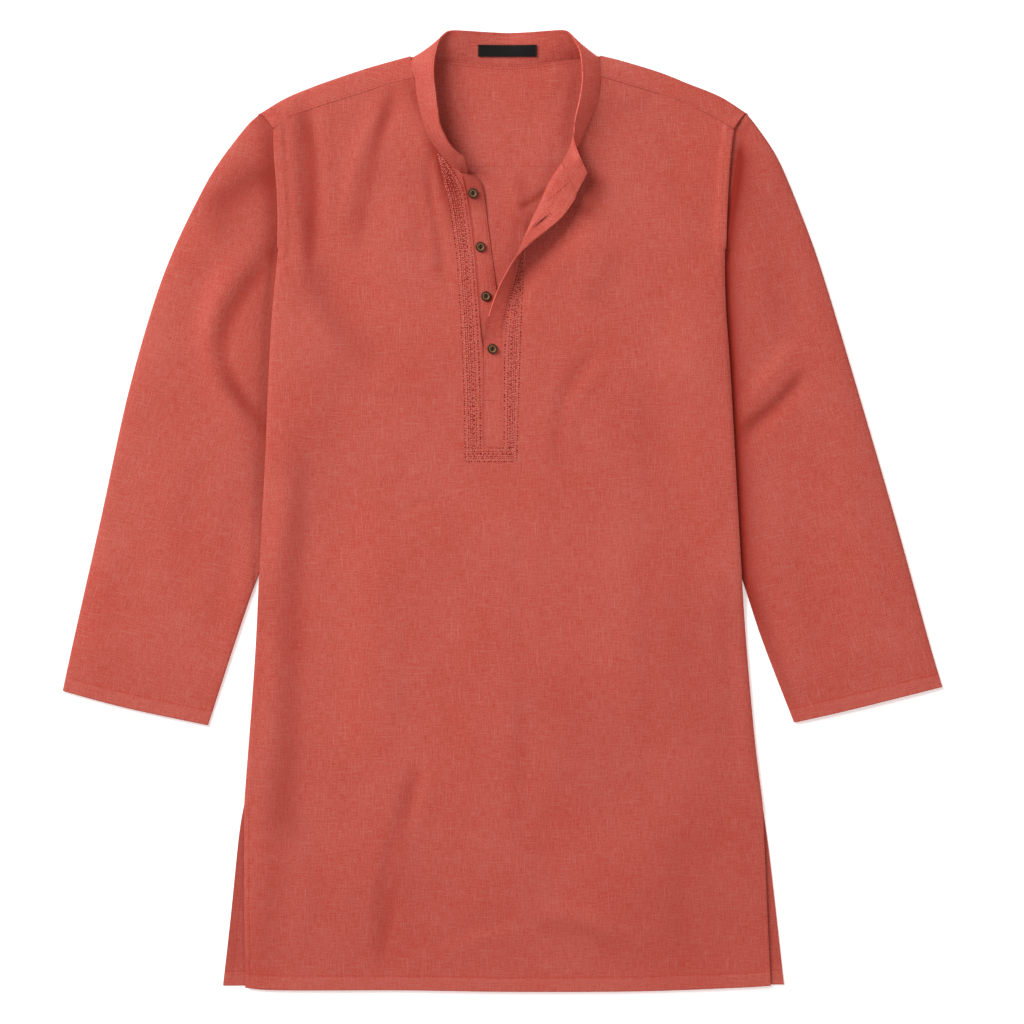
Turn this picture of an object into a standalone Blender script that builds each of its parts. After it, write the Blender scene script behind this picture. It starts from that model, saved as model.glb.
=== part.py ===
"""A kurta tunic, laid flat on a surface with its front up.

Sizes are in millimetres and become metres in the meshes. X runs across the garment, with the
wearer's left at +X, Y runs up it towards the collar, and Z up from the surface. The cloth layers
lie on each other: the back and the undersides of the sleeves on the surface, the front above
them, and the sides of the body over the inner edges of the sleeves.
"""

import math
from collections import namedtuple

import bmesh
import bpy
import numpy as np

CLOTH = 1.2  # wall of the body cloth
BAND_WALL = 1.6  # wall of the two-ply collar band
SEAM = 0.4  # between pieces that are sewn edge to edge
BAND_SEAM = 1.3  # between the collar band's foot and the cloth, which meet at an angle
LAY = 0.4  # between layers that lie on each other
LOFT = 3.3  # air under the front and the sleeve tops, away from the folds
ROUND = 28.0  # how far in from a fold the top cloth is still rounding over
NECK_LOFT = 2.6  # extra rise of the front at the neckline
NECK_REACH = 38.0
TUCK_LIFT = 4.3  # the body's sides over the tucked sleeves
TUCK_RAMP = 46.0
PRESS_CLEAR = 4.0  # the sleeve stays pressed this far outside the body's side
FOLD_IN = 1.2  # the cloth's middle turns this far inside a folded edge
FOLD_BULGE = 0.6
PLACKET = 18.0  # width of the buttonhole strip
ARMPIT_Y = 261.5
YOKE_BACK_Y = 345.5
BUTTON_RADIUS = 5.0
BUTTON_THICK = 2.2
HOLE_RADIUS = 0.8
HOLE_APART = 2.6
LABEL = (58.6, 11.5, 0.9)  # width, height, thickness
LABEL_AT = (5.0, 460.5)

# Folded and seamed outlines, as (x, y) down each side of the garment.
SHOULDER_RIGHT = [(-93, 455.5), (-108.5, 451.5), (-136.5, 443.5), (-166.5, 433.5),
                  (-191.5, 424.5), (-217.5, 413.5), (-242.5, 398.5)]
SHOULDER_LEFT = [(99, 456), (118.5, 451.5), (156.5, 440), (185.5, 428.5), (217.5, 415.5),
                 (243.5, 399)]
YOKE_SEAM_RIGHT = [(-90, 433.3), (-114.5, 427.5), (-134.5, 420.5), (-166.5, 410.5),
                   (-191.5, 402.5), (-212, 396), (-229.5, 382.5)]
YOKE_SEAM_LEFT = [(100, 434.3), (115.5, 429.5), (153.5, 418.5), (174.5, 412), (205.5, 397.5),
                  (231.5, 382.5)]
ARMHOLE_CAP_RIGHT = [(-242.5, 398.5), (-234.5, 390), (-229.5, 382.5)]
ARMHOLE_RIGHT = [(-229.5, 382.5), (-228.5, 355.5), (-226, 323.5), (-225, 290), (-225.5, 261.5)]
ARMHOLE_CAP_LEFT = [(243.5, 399), (236.5, 390.5), (231.5, 382.5)]
ARMHOLE_LEFT = [(231.5, 382.5), (229.5, 368.5), (224.5, 336.5), (220.5, 311.5), (219, 285),
                (223.5, 261.5)]
SIDE_RIGHT = [(-225.5, 261.5), (-231.5, 197.5), (-235.5, 125.5), (-237.7, 65.5)]
SIDE_LEFT = [(223.5, 261.5), (224, 211.5), (228.5, 146.5), (233, 65.5)]
SKIRT_RIGHT = [(-237.7, 65.5), (-244.5, -65.5), (-249.5, -158.5), (-259.5, -291.5)]
SKIRT_LEFT = [(233, 65.5), (242.5, -98.5), (252.5, -218.5), (261.5, -293.5)]
VENT_FRONT_RIGHT = [(-259.5, -291.5), (-259.5, -380), (-258.5, -476.5)]
VENT_FRONT_LEFT = [(261.5, -293.5), (265.5, -391.5), (269.5, -474.5)]
VENT_BACK_RIGHT = [(-259.5, -291.5), (-265, -324.5), (-273.5, -407.5), (-281, -474.5)]
VENT_BACK_LEFT = [(261.5, -293.5), (268.5, -344.5), (277.5, -423.5), (283, -473.5)]
HEM_FRONT = [(-258.5, -476.5), (-222.5, -479), (-102.5, -479), (9.5, -480.5), (137.5, -480),
             (233.5, -476.5), (269.5, -474.5)]
HEM_BACK = [(-281, -474.5), (0, -473), (283, -473.5)]
SLEEVE_OUTER_RIGHT = [(-242.5, 398.5), (-256.5, 385.5), (-282.5, 351.5), (-300.5, 321.5),
                      (-329.5, 261.5), (-351.5, 201.5), (-376.5, 111.5), (-402.5, -8.5),
                      (-429.5, -128.5), (-440.5, -179.5)]
SLEEVE_OUTER_LEFT = [(243.5, 399), (254.5, 385.5), (276.5, 351.5), (301.5, 291.5),
                     (322.5, 231.5), (358.5, 111.5), (393.5, -8.5), (426.5, -128.5),
                     (440.5, -175.5)]
SLEEVE_INNER_RIGHT = [(-226.5, 261.5), (-229.5, 250), (-230.5, 237), (-209, 208), (-198, 165),
                      (-197, 120), (-204, 60), (-222, -10), (-245, -66.5), (-266.5, -128.5),
                      (-294.5, -214)]
SLEEVE_INNER_LEFT = [(227.5, 261.5), (231.5, 250), (231.5, 236), (210, 205), (196, 165),
                     (195, 120), (201, 60), (219, -10), (241, -72), (259.5, -128.5),
                     (291.5, -211.5)]
CUFF_RIGHT = [(-440.5, -179.5), (-376.5, -196.5), (-294.5, -214)]
CUFF_LEFT = [(440.5, -175.5), (350.5, -198), (291.5, -211.5)]
STAND_OUTER = [(-19.3, 65.5), (-19.5, 155.5), (-22, 180.5), (-26.5, 237.5), (-31.5, 288.5),
               (-37.5, 323), (-38.6, 335)]
STAND_FREE = [(-2, 65.5), (-2.5, 170), (-6, 219.5), (-13.5, 275.5), (-18, 312), (-21, 326),
              (-27, 333)]

# The opening's right edge, from the placket's foot up to the band: where the cloth bends, the way
# its layers lie from there in degrees, how far it has turned over, the roll's radius, and the
# front's own cloth between the roll and the strip.
Bend = namedtuple("Bend", "x y aim turn radius inner")
BENDS = [
    Bend(-1.3, 65.5, 0, 0, 2, 2),
    Bend(-1.2, 108.5, 0, 0, 2, 2),
    Bend(-1.1, 160.0, 0, 4, 2, 2),
    Bend(-0.2, 180.0, 0, 25, 2, 2),
    Bend(1.8, 196.0, 0, 37, 2, 2),
    Bend(7.0, 219.0, 0, 49, 2.5, 2),
    Bend(12.0, 239.0, -6, 69, 2.8, 2),
    Bend(13.5, 254.0, -14, 92, 3, 2),
    Bend(20.5, 270.5, -22, 114, 3.4, 2),
    Bend(28.5, 289.5, -28, 145, 4, 3),
    Bend(37.5, 308.5, -32, 166, 4.5, 6),
    Bend(46.5, 328.5, -40, 176, 5, 8.5),
    Bend(59.0, 347.5, -62, 181, 5, 9),
]

# The collar band, from the wearer's right front round the back: its foot on the neckline, its free
# edge in plan, how wide the cloth of the band is there, and how high its foot lies.
Stay = namedtuple("Stay", "foot_x foot_y top_x top_y width foot_z")
BAND = [
    Stay(-34.8, 339.2, -37.0, 351.0, 19.2, 9.0),
    Stay(-46.0, 343.5, -41.0, 354.5, 20.0, 9.2),
    Stay(-57.0, 353.5, -49.5, 361.5, 21.0, 9.2),
    Stay(-66.5, 365.0, -56.0, 371.5, 22.0, 9.0),
    Stay(-75.5, 379.5, -62.0, 386.0, 23.5, 8.6),
    Stay(-82.0, 400.0, -64.5, 403.0, 25.0, 8.0),
    Stay(-85.5, 415.5, -66.0, 416.0, 26.0, 7.4),
    Stay(-88.5, 434.0, -68.0, 434.0, 27.0, 6.4),
    Stay(-91.0, 446.0, -67.5, 449.0, 29.0, 5.2),
    Stay(-90.0, 452.0, -65.5, 460.0, 30.0, 4.0),
    Stay(-85.0, 456.0, -62.5, 469.0, 30.5, 3.0),
    Stay(-76.0, 456.5, -57.5, 476.5, 31.0, 2.2),
    Stay(-62.0, 454.0, -50.5, 480.0, 31.0, 1.6),
    Stay(-40.0, 451.2, -36.0, 479.9, 31.0, 1.1),
    Stay(-15.0, 448.4, -12.0, 479.0, 31.4, 1.0),
    Stay(6.5, 447.0, 6.5, 478.5, 31.7, 1.0),
    Stay(30.0, 448.6, 27.0, 479.0, 31.4, 1.0),
    Stay(52.0, 451.6, 46.0, 479.9, 31.0, 1.2),
    Stay(72.0, 454.6, 60.5, 480.0, 31.0, 1.8),
    Stay(86.0, 456.8, 67.5, 476.0, 31.0, 2.6),
    Stay(94.0, 455.0, 72.5, 468.0, 30.5, 3.6),
    Stay(98.0, 449.5, 77.0, 458.0, 30.0, 4.6),
    Stay(99.0, 441.0, 79.0, 445.0, 28.5, 5.6),
    Stay(98.5, 430.0, 79.5, 430.0, 27.0, 6.6),
    Stay(93.5, 407.5, 77.0, 411.0, 25.5, 7.8),
    Stay(85.0, 387.0, 73.5, 396.0, 24.0, 8.6),
    Stay(74.5, 365.5, 71.5, 384.0, 23.5, 9.4),
    Stay(65.0, 355.5, 71.3, 374.0, 22.8, 11.4),
    Stay(60.7, 348.6, 73.0, 364.5, 21.6, 14.6),
    Stay(63.5, 341.0, 76.5, 355.0, 19.8, 18.0),
    Stay(69.0, 330.5, 80.5, 346.0, 19.5, 18.0),
    Stay(75.0, 319.0, 84.5, 337.5, 20.9, 17.4),
]

Button = namedtuple("Button", "x y tilt")
BUTTONS = [Button(-29.5, 318.0, 4), Button(-21.9, 264.5, 3), Button(-16.5, 215.1, 2), Button(-10.1, 162.5, 0)]

# The largest folds of the top cloth: a bent line from start through bend to end, how far it reaches
# to each side, and how deep it lies.
Fold = namedtuple("Fold", "start bend end reach depth")
BODY_FOLDS = [
    Fold((-199, 402), (-195, 330), (-190, 262), 13, 1.9),
    Fold((-186, 250), (-155, 190), (-125, 140), 24, 1.0),
    Fold((-118, 404), (-146, 350), (-158, 276), 12, 1.0),
    Fold((-208, 40), (-214, -120), (-214, -278), 16, 1.5),
    Fold((-86, -262), (-112, -350), (-124, -440), 14, 1.1),
    Fold((90, 166), (54, 112), (47, 50), 14, 0.8),
    Fold((20, 20), (18, -150), (16, -290), 20, 0.5),
    Fold((-102, -452), (57, -404), (147, -434), 16, -0.5),
]
SLEEVE_FOLDS = [
    Fold((-236, 258), (-284, 172), (-240, 84), 14, 1.9),
    Fold((-236, 338), (-262, 322), (-290, 304), 20, 1.0),
    Fold((297, 158), (268, 124), (242, 88), 13, 1.6),
    Fold((262, 330), (276, 240), (290, 180), 26, 0.7),
    Fold((-330, 60), (-340, -40), (-352, -130), 30, -0.5),
    Fold((338, 40), (352, -50), (368, -140), 30, -0.5),
]

Patch = namedtuple("Patch", "low high first last")  # four edges: low and high y, low and high x


def smooth(points, count):
    """count + 1 evenly spaced points along a smooth curve through the given ones."""
    p = np.array(points, float)
    p = np.vstack([2 * p[0] - p[1], p, 2 * p[-1] - p[-2]])
    dense = []
    for a, b, c, d in zip(p, p[1:], p[2:], p[3:]):
        for t in np.linspace(0, 1, 12, endpoint=False):
            dense.append(b + 0.5 * t * (c - a + t * (2 * a - 5 * b + 4 * c - d + t * (3 * b - a - 3 * c + d))))
    dense.append(p[-2])
    dense = np.array(dense)
    run = np.concatenate([[0], np.cumsum(np.linalg.norm(np.diff(dense, axis=0), axis=1))])
    at = np.linspace(0, run[-1], count + 1)
    return np.stack([np.interp(at, run, dense[:, k]) for k in range(dense.shape[1])], axis=1)


def chain(*curves):
    """Curves that meet end to end, as one."""
    return np.vstack([curves[0]] + [c[1:] for c in curves[1:]])


def shifted(curve, by):
    """A plan curve moved to the left of its own direction by a distance."""
    along = np.gradient(curve, axis=0)
    along /= np.linalg.norm(along, axis=1)[:, None]
    return curve + by * np.stack([-along[:, 1], along[:, 0]], axis=1)


def placed(curve, stations):
    """A curve sampled again at shares of its length."""
    run = np.concatenate([[0], np.cumsum(np.linalg.norm(np.diff(curve, axis=0), axis=1))])
    at = np.array(stations) * run[-1]
    return np.stack([np.interp(at, run, curve[:, k]) for k in range(curve.shape[1])], axis=1)


def spread(patch, stations):
    """Plan points over a four-sided patch: rows follow its sides, columns the stations across."""
    low = placed(patch.low, stations)
    high = placed(patch.high, stations)
    rows = len(patch.first)
    t = np.linspace(0, 1, rows)[:, None, None]
    s = np.array(stations)[None, :, None]
    first = patch.first[:, None, :]
    last = patch.last[:, None, :]
    corners = ((1 - s) * (1 - t) * low[0] + s * (1 - t) * low[-1]
               + (1 - s) * t * high[0] + s * t * high[-1])
    return (1 - s) * first + s * last + (1 - t) * low[None] + t * high[None] - corners


def ease(t):
    t = np.clip(t, 0, 1)
    return t * t * (3 - 2 * t)


def distance(points, lines):
    """From each plan point to the nearest of some lines."""
    best = np.full(points.shape[:-1], 1e9)
    for line in lines:
        line = np.array(line, float)
        for a, b in zip(line, line[1:]):
            ab = b - a
            t = np.clip(((points - a) @ ab) / (ab @ ab), 0, 1)
            best = np.minimum(best, np.linalg.norm(points - a - t[..., None] * ab, axis=-1))
    return best


def dented(p, folds):
    """How far the folds lower the cloth at some plan points."""
    total = np.zeros(p.shape[:-1])
    for fold in folds:
        line = smooth([fold.start, fold.bend, fold.end], 10)
        near = distance(p, [line])
        length = np.linalg.norm(np.subtract(fold.end, fold.start))
        along = (p - np.array(fold.start)) @ (np.subtract(fold.end, fold.start) / length) / length
        fade = ease((along + 0.12) / 0.3) * ease((1.12 - along) / 0.3)
        total += fold.depth * fade * np.exp(-((near / fold.reach) ** 2))
    return total


SIDES = {-1: SIDE_RIGHT + SKIRT_RIGHT[1:], 1: SIDE_LEFT + SKIRT_LEFT[1:]}
INNER = {-1: SLEEVE_INNER_RIGHT, 1: SLEEVE_INNER_LEFT}
NECKLINE = [(s.foot_x, s.foot_y) for s in BAND if s.foot_y < 446]
FRONT_FOLDS = [SHOULDER_RIGHT, SHOULDER_LEFT, SIDES[-1], SIDES[1], VENT_FRONT_RIGHT, VENT_FRONT_LEFT,
               SLEEVE_OUTER_RIGHT, SLEEVE_OUTER_LEFT]


def across(line, y):
    """The x of a line at some heights."""
    line = np.array(sorted(line, key=lambda p: p[1]), float)
    return np.interp(y, line[:, 1], line[:, 0])


def rounding(depth):
    """Share of the full loft this far in from a fold, as a quarter round."""
    t = np.clip(depth / ROUND, 0, 1)
    return np.sqrt(1 - (1 - t) ** 2)


def lifted(p):
    """How far the body is raised where it lies over a tucked sleeve."""
    x, y = p[..., 0], p[..., 1]
    up = ease((ARMPIT_Y - y) / 14) * ease((y + 128) / 50)
    total = np.zeros(x.shape)
    for side in (-1, 1):
        past = (across(INNER[side], np.minimum(y, 215)) - x) * side
        total = np.maximum(total, up * (1 - ease(past / TUCK_RAMP)))
    return TUCK_LIFT * total


def back_level(p):
    return CLOTH / 2 + lifted(p)


def front_level(p):
    near_neck = np.exp(-((distance(p, [NECKLINE]) / NECK_REACH) ** 2))
    hem = 0.35 + 0.65 * ease((p[..., 1] + 478) / 60)
    height = LOFT + NECK_LOFT * near_neck - dented(p, BODY_FOLDS)
    return back_level(p) + CLOTH + LAY + height * rounding(distance(p, FRONT_FOLDS)) * hem


def sleeve_level(p, side):
    """The sleeve's top cloth: pressed flat under the body's side and rounded at its folds."""
    x, y = p[..., 0], p[..., 1]
    folds = [SHOULDER_RIGHT, SLEEVE_OUTER_RIGHT] if side < 0 else [SHOULDER_LEFT, SLEEVE_OUTER_LEFT]
    depth = distance(p, folds + [INNER[side]])
    outside = (x - across(SIDES[side], y)) * side
    armpit = np.hypot(x - SIDES[side][0][0], y - ARMPIT_Y)
    pressed = np.where(y < ARMPIT_Y, np.minimum(np.maximum(outside - PRESS_CLEAR, 0), armpit), armpit)
    cuff = 0.3 + 0.7 * ease(distance(p, [CUFF_RIGHT, CUFF_LEFT]) / 60)
    height = LOFT - dented(p, SLEEVE_FOLDS)
    return CLOTH / 2 + CLOTH + LAY + height * rounding(np.minimum(depth, pressed)) * cuff


def raised(plan, level):
    """Plan points given the height of their layer."""
    return np.concatenate([plan, level[..., None]], axis=-1)


def faces_between(grid):
    """Vertex index quads of a grid of indices."""
    return [
        (grid[i][j], grid[i][j + 1], grid[i + 1][j + 1], grid[i + 1][j])
        for i in range(len(grid) - 1)
        for j in range(len(grid[0]) - 1)
    ]


def sheet(name, grids, wall, material, ring=False):
    """One cloth piece: grids of its middle surface, joined where their points meet, and given a wall."""
    mesh = bpy.data.meshes.new(name)
    index, points, quads = {}, [], []
    for grid in grids:
        rows = []
        for row in grid:
            ids = []
            for point in row:
                key = tuple(np.round(point, 3))
                if key not in index:
                    index[key] = len(points)
                    points.append(tuple(np.array(point) * 0.001))
                ids.append(index[key])
            if ring:
                ids.append(ids[0])
            rows.append(ids)
        quads += faces_between(rows)
    quads = [q for q in quads if len(set(q)) == 4]
    mesh.from_pydata(points, [], quads)
    mesh.validate()
    obj = bpy.data.objects.new(name, mesh)
    bpy.context.scene.collection.objects.link(obj)
    solid = obj.modifiers.new("wall", "SOLIDIFY")
    solid.thickness = wall * 0.001
    solid.offset = 0
    mesh.shade_smooth()
    mesh.materials.append(material)
    return obj


def finish(name, color, roughness, metallic=0.0):
    made = bpy.data.materials.new(name)
    made.use_nodes = True
    surface = made.node_tree.nodes["Principled BSDF"]
    surface.inputs["Base Color"].default_value = (*color, 1)
    surface.inputs["Roughness"].default_value = roughness
    surface.inputs["Metallic"].default_value = metallic
    return made


# Shares across a half panel, closer together near the fold at its side.
TOWARD_CENTRE = [0, 0.012, 0.04, 0.09, 0.17, 0.29, 0.45, 0.63, 0.82, 1]
FROM_CENTRE = [1 - s for s in reversed(TOWARD_CENTRE)]
SKIRT_ROWS = 8
VENT_ROWS = 5
SIDE_ROWS = 8
ARMHOLE_ROWS = 6
UPPER_ROWS = 3  # of the front's armhole, beside the yoke's back
CAP_ROWS = 2


def armhole_front(side):
    """The front panel's armhole edge, from the armpit to the yoke."""
    line = (ARMHOLE_RIGHT if side < 0 else ARMHOLE_LEFT)[::-1]
    return smooth(line, ARMHOLE_ROWS + UPPER_ROWS)


def folded_in(side, curve):
    """A side fold's line brought in by the cloth's turn."""
    return curve + np.array([-side * FOLD_IN, 0])


def turned(bend, start_z, lengths):
    """Points of the cloth round the bend, at lengths measured from where the roll starts."""
    aim = math.radians(bend.aim)
    turn = math.radians(bend.turn)
    out = np.array([math.cos(aim), math.sin(aim)])
    origin = np.array([bend.x, bend.y]) + bend.radius * out
    roll = bend.radius * turn
    found = []
    for length in lengths:
        swept = min(length / bend.radius, turn)
        straight = max(length - roll, 0)
        back = bend.radius * math.sin(swept) + straight * math.cos(turn)
        high = bend.radius * (1 - math.cos(swept)) + straight * math.sin(turn)
        found.append([*(origin - back * out), start_z + high])
    return np.array(found)


def bend_starts():
    return np.array([[b.x + b.radius * math.cos(math.radians(b.aim)),
                      b.y + b.radius * math.sin(math.radians(b.aim))] for b in BENDS])


def edge_row(bend, base):
    """The front's turned edge at one bend, from the strip's seam back round the roll to its base."""
    roll = bend.radius * math.radians(bend.turn)
    reach = roll + bend.inner - SEAM / 2
    rolled = max(roll, 0.4 * reach)
    row = turned(bend, base[2], [reach, (rolled + reach) / 2, rolled, rolled * 2 / 3, rolled / 3, 0])
    row[-1] = base
    return row


def neckline(side):
    """The front's neckline edge on one side, clear of the band's foot, rising to the yoke."""
    if side < 0:
        line = [(s.foot_x, s.foot_y) for s in BAND[:8]]
    else:
        line = [(s.foot_x, s.foot_y) for s in BAND[23:28]][::-1]
    curve = smooth(line, 24)
    return shifted(curve, -side * BAND_SEAM)


def front_grids():
    rows_up = SIDE_ROWS + ARMHOLE_ROWS + UPPER_ROWS
    side_r = folded_in(-1, smooth(SIDE_RIGHT[::-1], SIDE_ROWS))
    side_l = folded_in(1, smooth(SIDE_LEFT[::-1], SIDE_ROWS))
    arm_r = armhole_front(-1) + [SEAM / 2, 0]
    arm_l = armhole_front(1) - [SEAM / 2, 0]
    arm_r[0] = side_r[-1]
    arm_l[0] = side_l[-1]
    yoke_r = smooth(YOKE_SEAM_RIGHT, 40)[::-1] - [0, SEAM / 2]
    yoke_l = smooth(YOKE_SEAM_LEFT, 40) - [0, SEAM / 2]

    # The wearer's right front, up to the button stand and the neckline.
    slit = shifted(smooth(STAND_OUTER, len(BENDS) - 1), SEAM)
    neck = placed(smooth([(-40.2, 337.6), *[tuple(p) for p in neckline(-1)[8:]][::4], tuple(yoke_r[-1])], 30),
                  np.linspace(0, 1, rows_up - len(BENDS) + 2))
    slit[-1] = neck[0]
    inner_r = chain(slit, neck)
    outer_r = chain(side_r, arm_r)
    outer_r[-1] = yoke_r[0]
    low_r = np.array([outer_r[0], inner_r[0]])
    right = spread(Patch(low_r, yoke_r, outer_r, inner_r), TOWARD_CENTRE)

    # The wearer's left front, up to where its edge starts to turn over.
    starts = bend_starts()
    curve = neckline(1)
    curve = curve[curve[:, 1] > starts[-1][1] + 4]
    neck = placed(smooth([tuple(starts[-1]), *[tuple(p) for p in curve][3::4], tuple(yoke_l[0])], 30),
                  np.linspace(0, 1, rows_up - len(BENDS) + 2))
    inner_l = chain(starts, neck)
    outer_l = chain(side_l, arm_l)
    outer_l[-1] = yoke_l[-1]
    low_l = np.array([inner_l[0], outer_l[0]])
    left = spread(Patch(low_l, yoke_l, inner_l, outer_l), FROM_CENTRE)

    # Below the placket, hem to foot, the two halves and the strip between them in one.
    vent_r = smooth(VENT_FRONT_RIGHT[::-1], VENT_ROWS) + [FOLD_IN, 0]
    vent_l = smooth(VENT_FRONT_LEFT[::-1], VENT_ROWS) - [FOLD_IN, 0]
    skirt_r = folded_in(-1, smooth(SKIRT_RIGHT[::-1], SKIRT_ROWS))
    skirt_l = folded_in(1, smooth(SKIRT_LEFT[::-1], SKIRT_ROWS))
    first = chain(vent_r, skirt_r)
    last = chain(vent_l, skirt_l)
    first[-1] = outer_r[0]
    last[-1] = outer_l[0]
    slit_foot = edge_row(BENDS[0], np.append(left[0, 0], 0))
    high = np.vstack([right[0], slit_foot[:, :2], left[0][1:]])
    run = np.concatenate([[0], np.cumsum(np.linalg.norm(np.diff(high, axis=0), axis=1))])
    stations = run / run[-1]
    hem = widened(smooth(HEM_FRONT, 40), (first[0], last[0]))
    lower = spread(Patch(hem, high, first, last), stations)

    right = raised(right, front_level(right))
    left = raised(left, front_level(left))
    lower = raised(lower, front_level(lower))
    edge = np.array([edge_row(bend, base) for bend, base in zip(BENDS, left[:len(BENDS), 0])])
    lower[-1] = np.vstack([right[0], edge[0], left[0][1:]])
    return [lower, right, left, edge]


def widened(curve, ends):
    """A curve with its two ends put exactly where its neighbours' ends are."""
    curve = curve.copy()
    curve[0], curve[-1] = ends
    return curve


def back_grids():
    up = smooth(ARMHOLE_RIGHT[::-1], 12)
    up = np.array([p for p in up if p[1] < YOKE_BACK_Y - 6])
    arm_r = placed(smooth([*map(tuple, up[::3]), (-228, YOKE_BACK_Y - SEAM / 2)], 20),
                   np.linspace(0, 1, ARMHOLE_ROWS)) + [SEAM * 2, 0]
    up = smooth(ARMHOLE_LEFT[::-1], 12)
    up = np.array([p for p in up if p[1] < YOKE_BACK_Y - 6])
    arm_l = placed(smooth([*map(tuple, up[::3]), (226, YOKE_BACK_Y - SEAM / 2)], 20),
                   np.linspace(0, 1, ARMHOLE_ROWS)) - [SEAM * 2, 0]
    sides = []
    for side, vent, skirt, upper, arm in (
        (-1, VENT_BACK_RIGHT, SKIRT_RIGHT, SIDE_RIGHT, arm_r),
        (1, VENT_BACK_LEFT, SKIRT_LEFT, SIDE_LEFT, arm_l),
    ):
        line = chain(smooth(vent[::-1], VENT_ROWS), smooth(skirt[::-1], SKIRT_ROWS),
                     smooth(upper[::-1], SIDE_ROWS))
        line = folded_in(side, line)
        arm[0] = line[-1]
        sides.append(chain(line, arm))
    first, last = sides
    stations = [s * 0.5 for s in TOWARD_CENTRE] + [0.5 + s * 0.5 for s in FROM_CENTRE[1:]]
    low = widened(smooth(HEM_BACK, 20), (first[0], last[0]))
    high = np.array([first[-1], last[-1]])
    plan = spread(Patch(low, high, first, last), stations)
    return [raised(plan, back_level(plan))]


def sleeve_grid(side):
    """Rings of the flat tube: its underside, the outer fold, its top and the inner fold."""
    sleeve_rows = 17
    cap, armhole = (ARMHOLE_CAP_RIGHT, ARMHOLE_RIGHT) if side < 0 else (ARMHOLE_CAP_LEFT, ARMHOLE_LEFT)
    top = chain(smooth(cap, 4), smooth(armhole, 14)) + [side * SEAM * 2, 0]
    outer = smooth(SLEEVE_OUTER_RIGHT if side < 0 else SLEEVE_OUTER_LEFT, 60)
    inner = smooth(INNER[side], 60)
    cuff = smooth(CUFF_RIGHT if side < 0 else CUFF_LEFT, 12)
    shares = np.linspace(0, 1, sleeve_rows)
    outer = placed(shifted(outer, -side * FOLD_IN), shares)
    inner = placed(shifted(inner, side * FOLD_IN), shares)
    stations = np.array([0, 0.035, 0.09, 0.17, 0.28, 0.41, 0.55, 0.68, 0.8, 0.9, 0.965, 1])
    outer[0], inner[0] = top[0] + [side * 1.6, -1.0], top[-1]
    cuff[0], cuff[-1] = outer[-1], inner[-1]
    top[0] = outer[0]
    plan = spread(Patch(top, cuff, outer, inner), stations)
    level = sleeve_level(plan, side)
    upper = raised(plan, level)
    low_stations = [0, 3, 5, 8, 11]
    under = raised(plan[:, low_stations], np.full(plan[:, low_stations].shape[:2], CLOTH / 2))
    rings = []
    for i in range(sleeve_rows):
        ring = list(under[i][::-1])
        outward = (upper[i][0] - upper[i][1])[:2]
        outward /= np.linalg.norm(outward)
        inward = (upper[i][-1] - upper[i][-2])[:2]
        inward /= np.linalg.norm(inward)
        middle = (under[i][0][2] + upper[i][0][2]) / 2
        ring.append([*(upper[i][0][:2] + outward * FOLD_BULGE), middle])
        ring += list(upper[i])
        middle = (under[i][-1][2] + upper[i][-1][2]) / 2
        ring.append([*(upper[i][-1][:2] + inward * FOLD_BULGE), middle])
        rings.append(ring)
    if side > 0:
        rings = [ring[::-1] for ring in rings]
    return np.array(rings)


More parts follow.
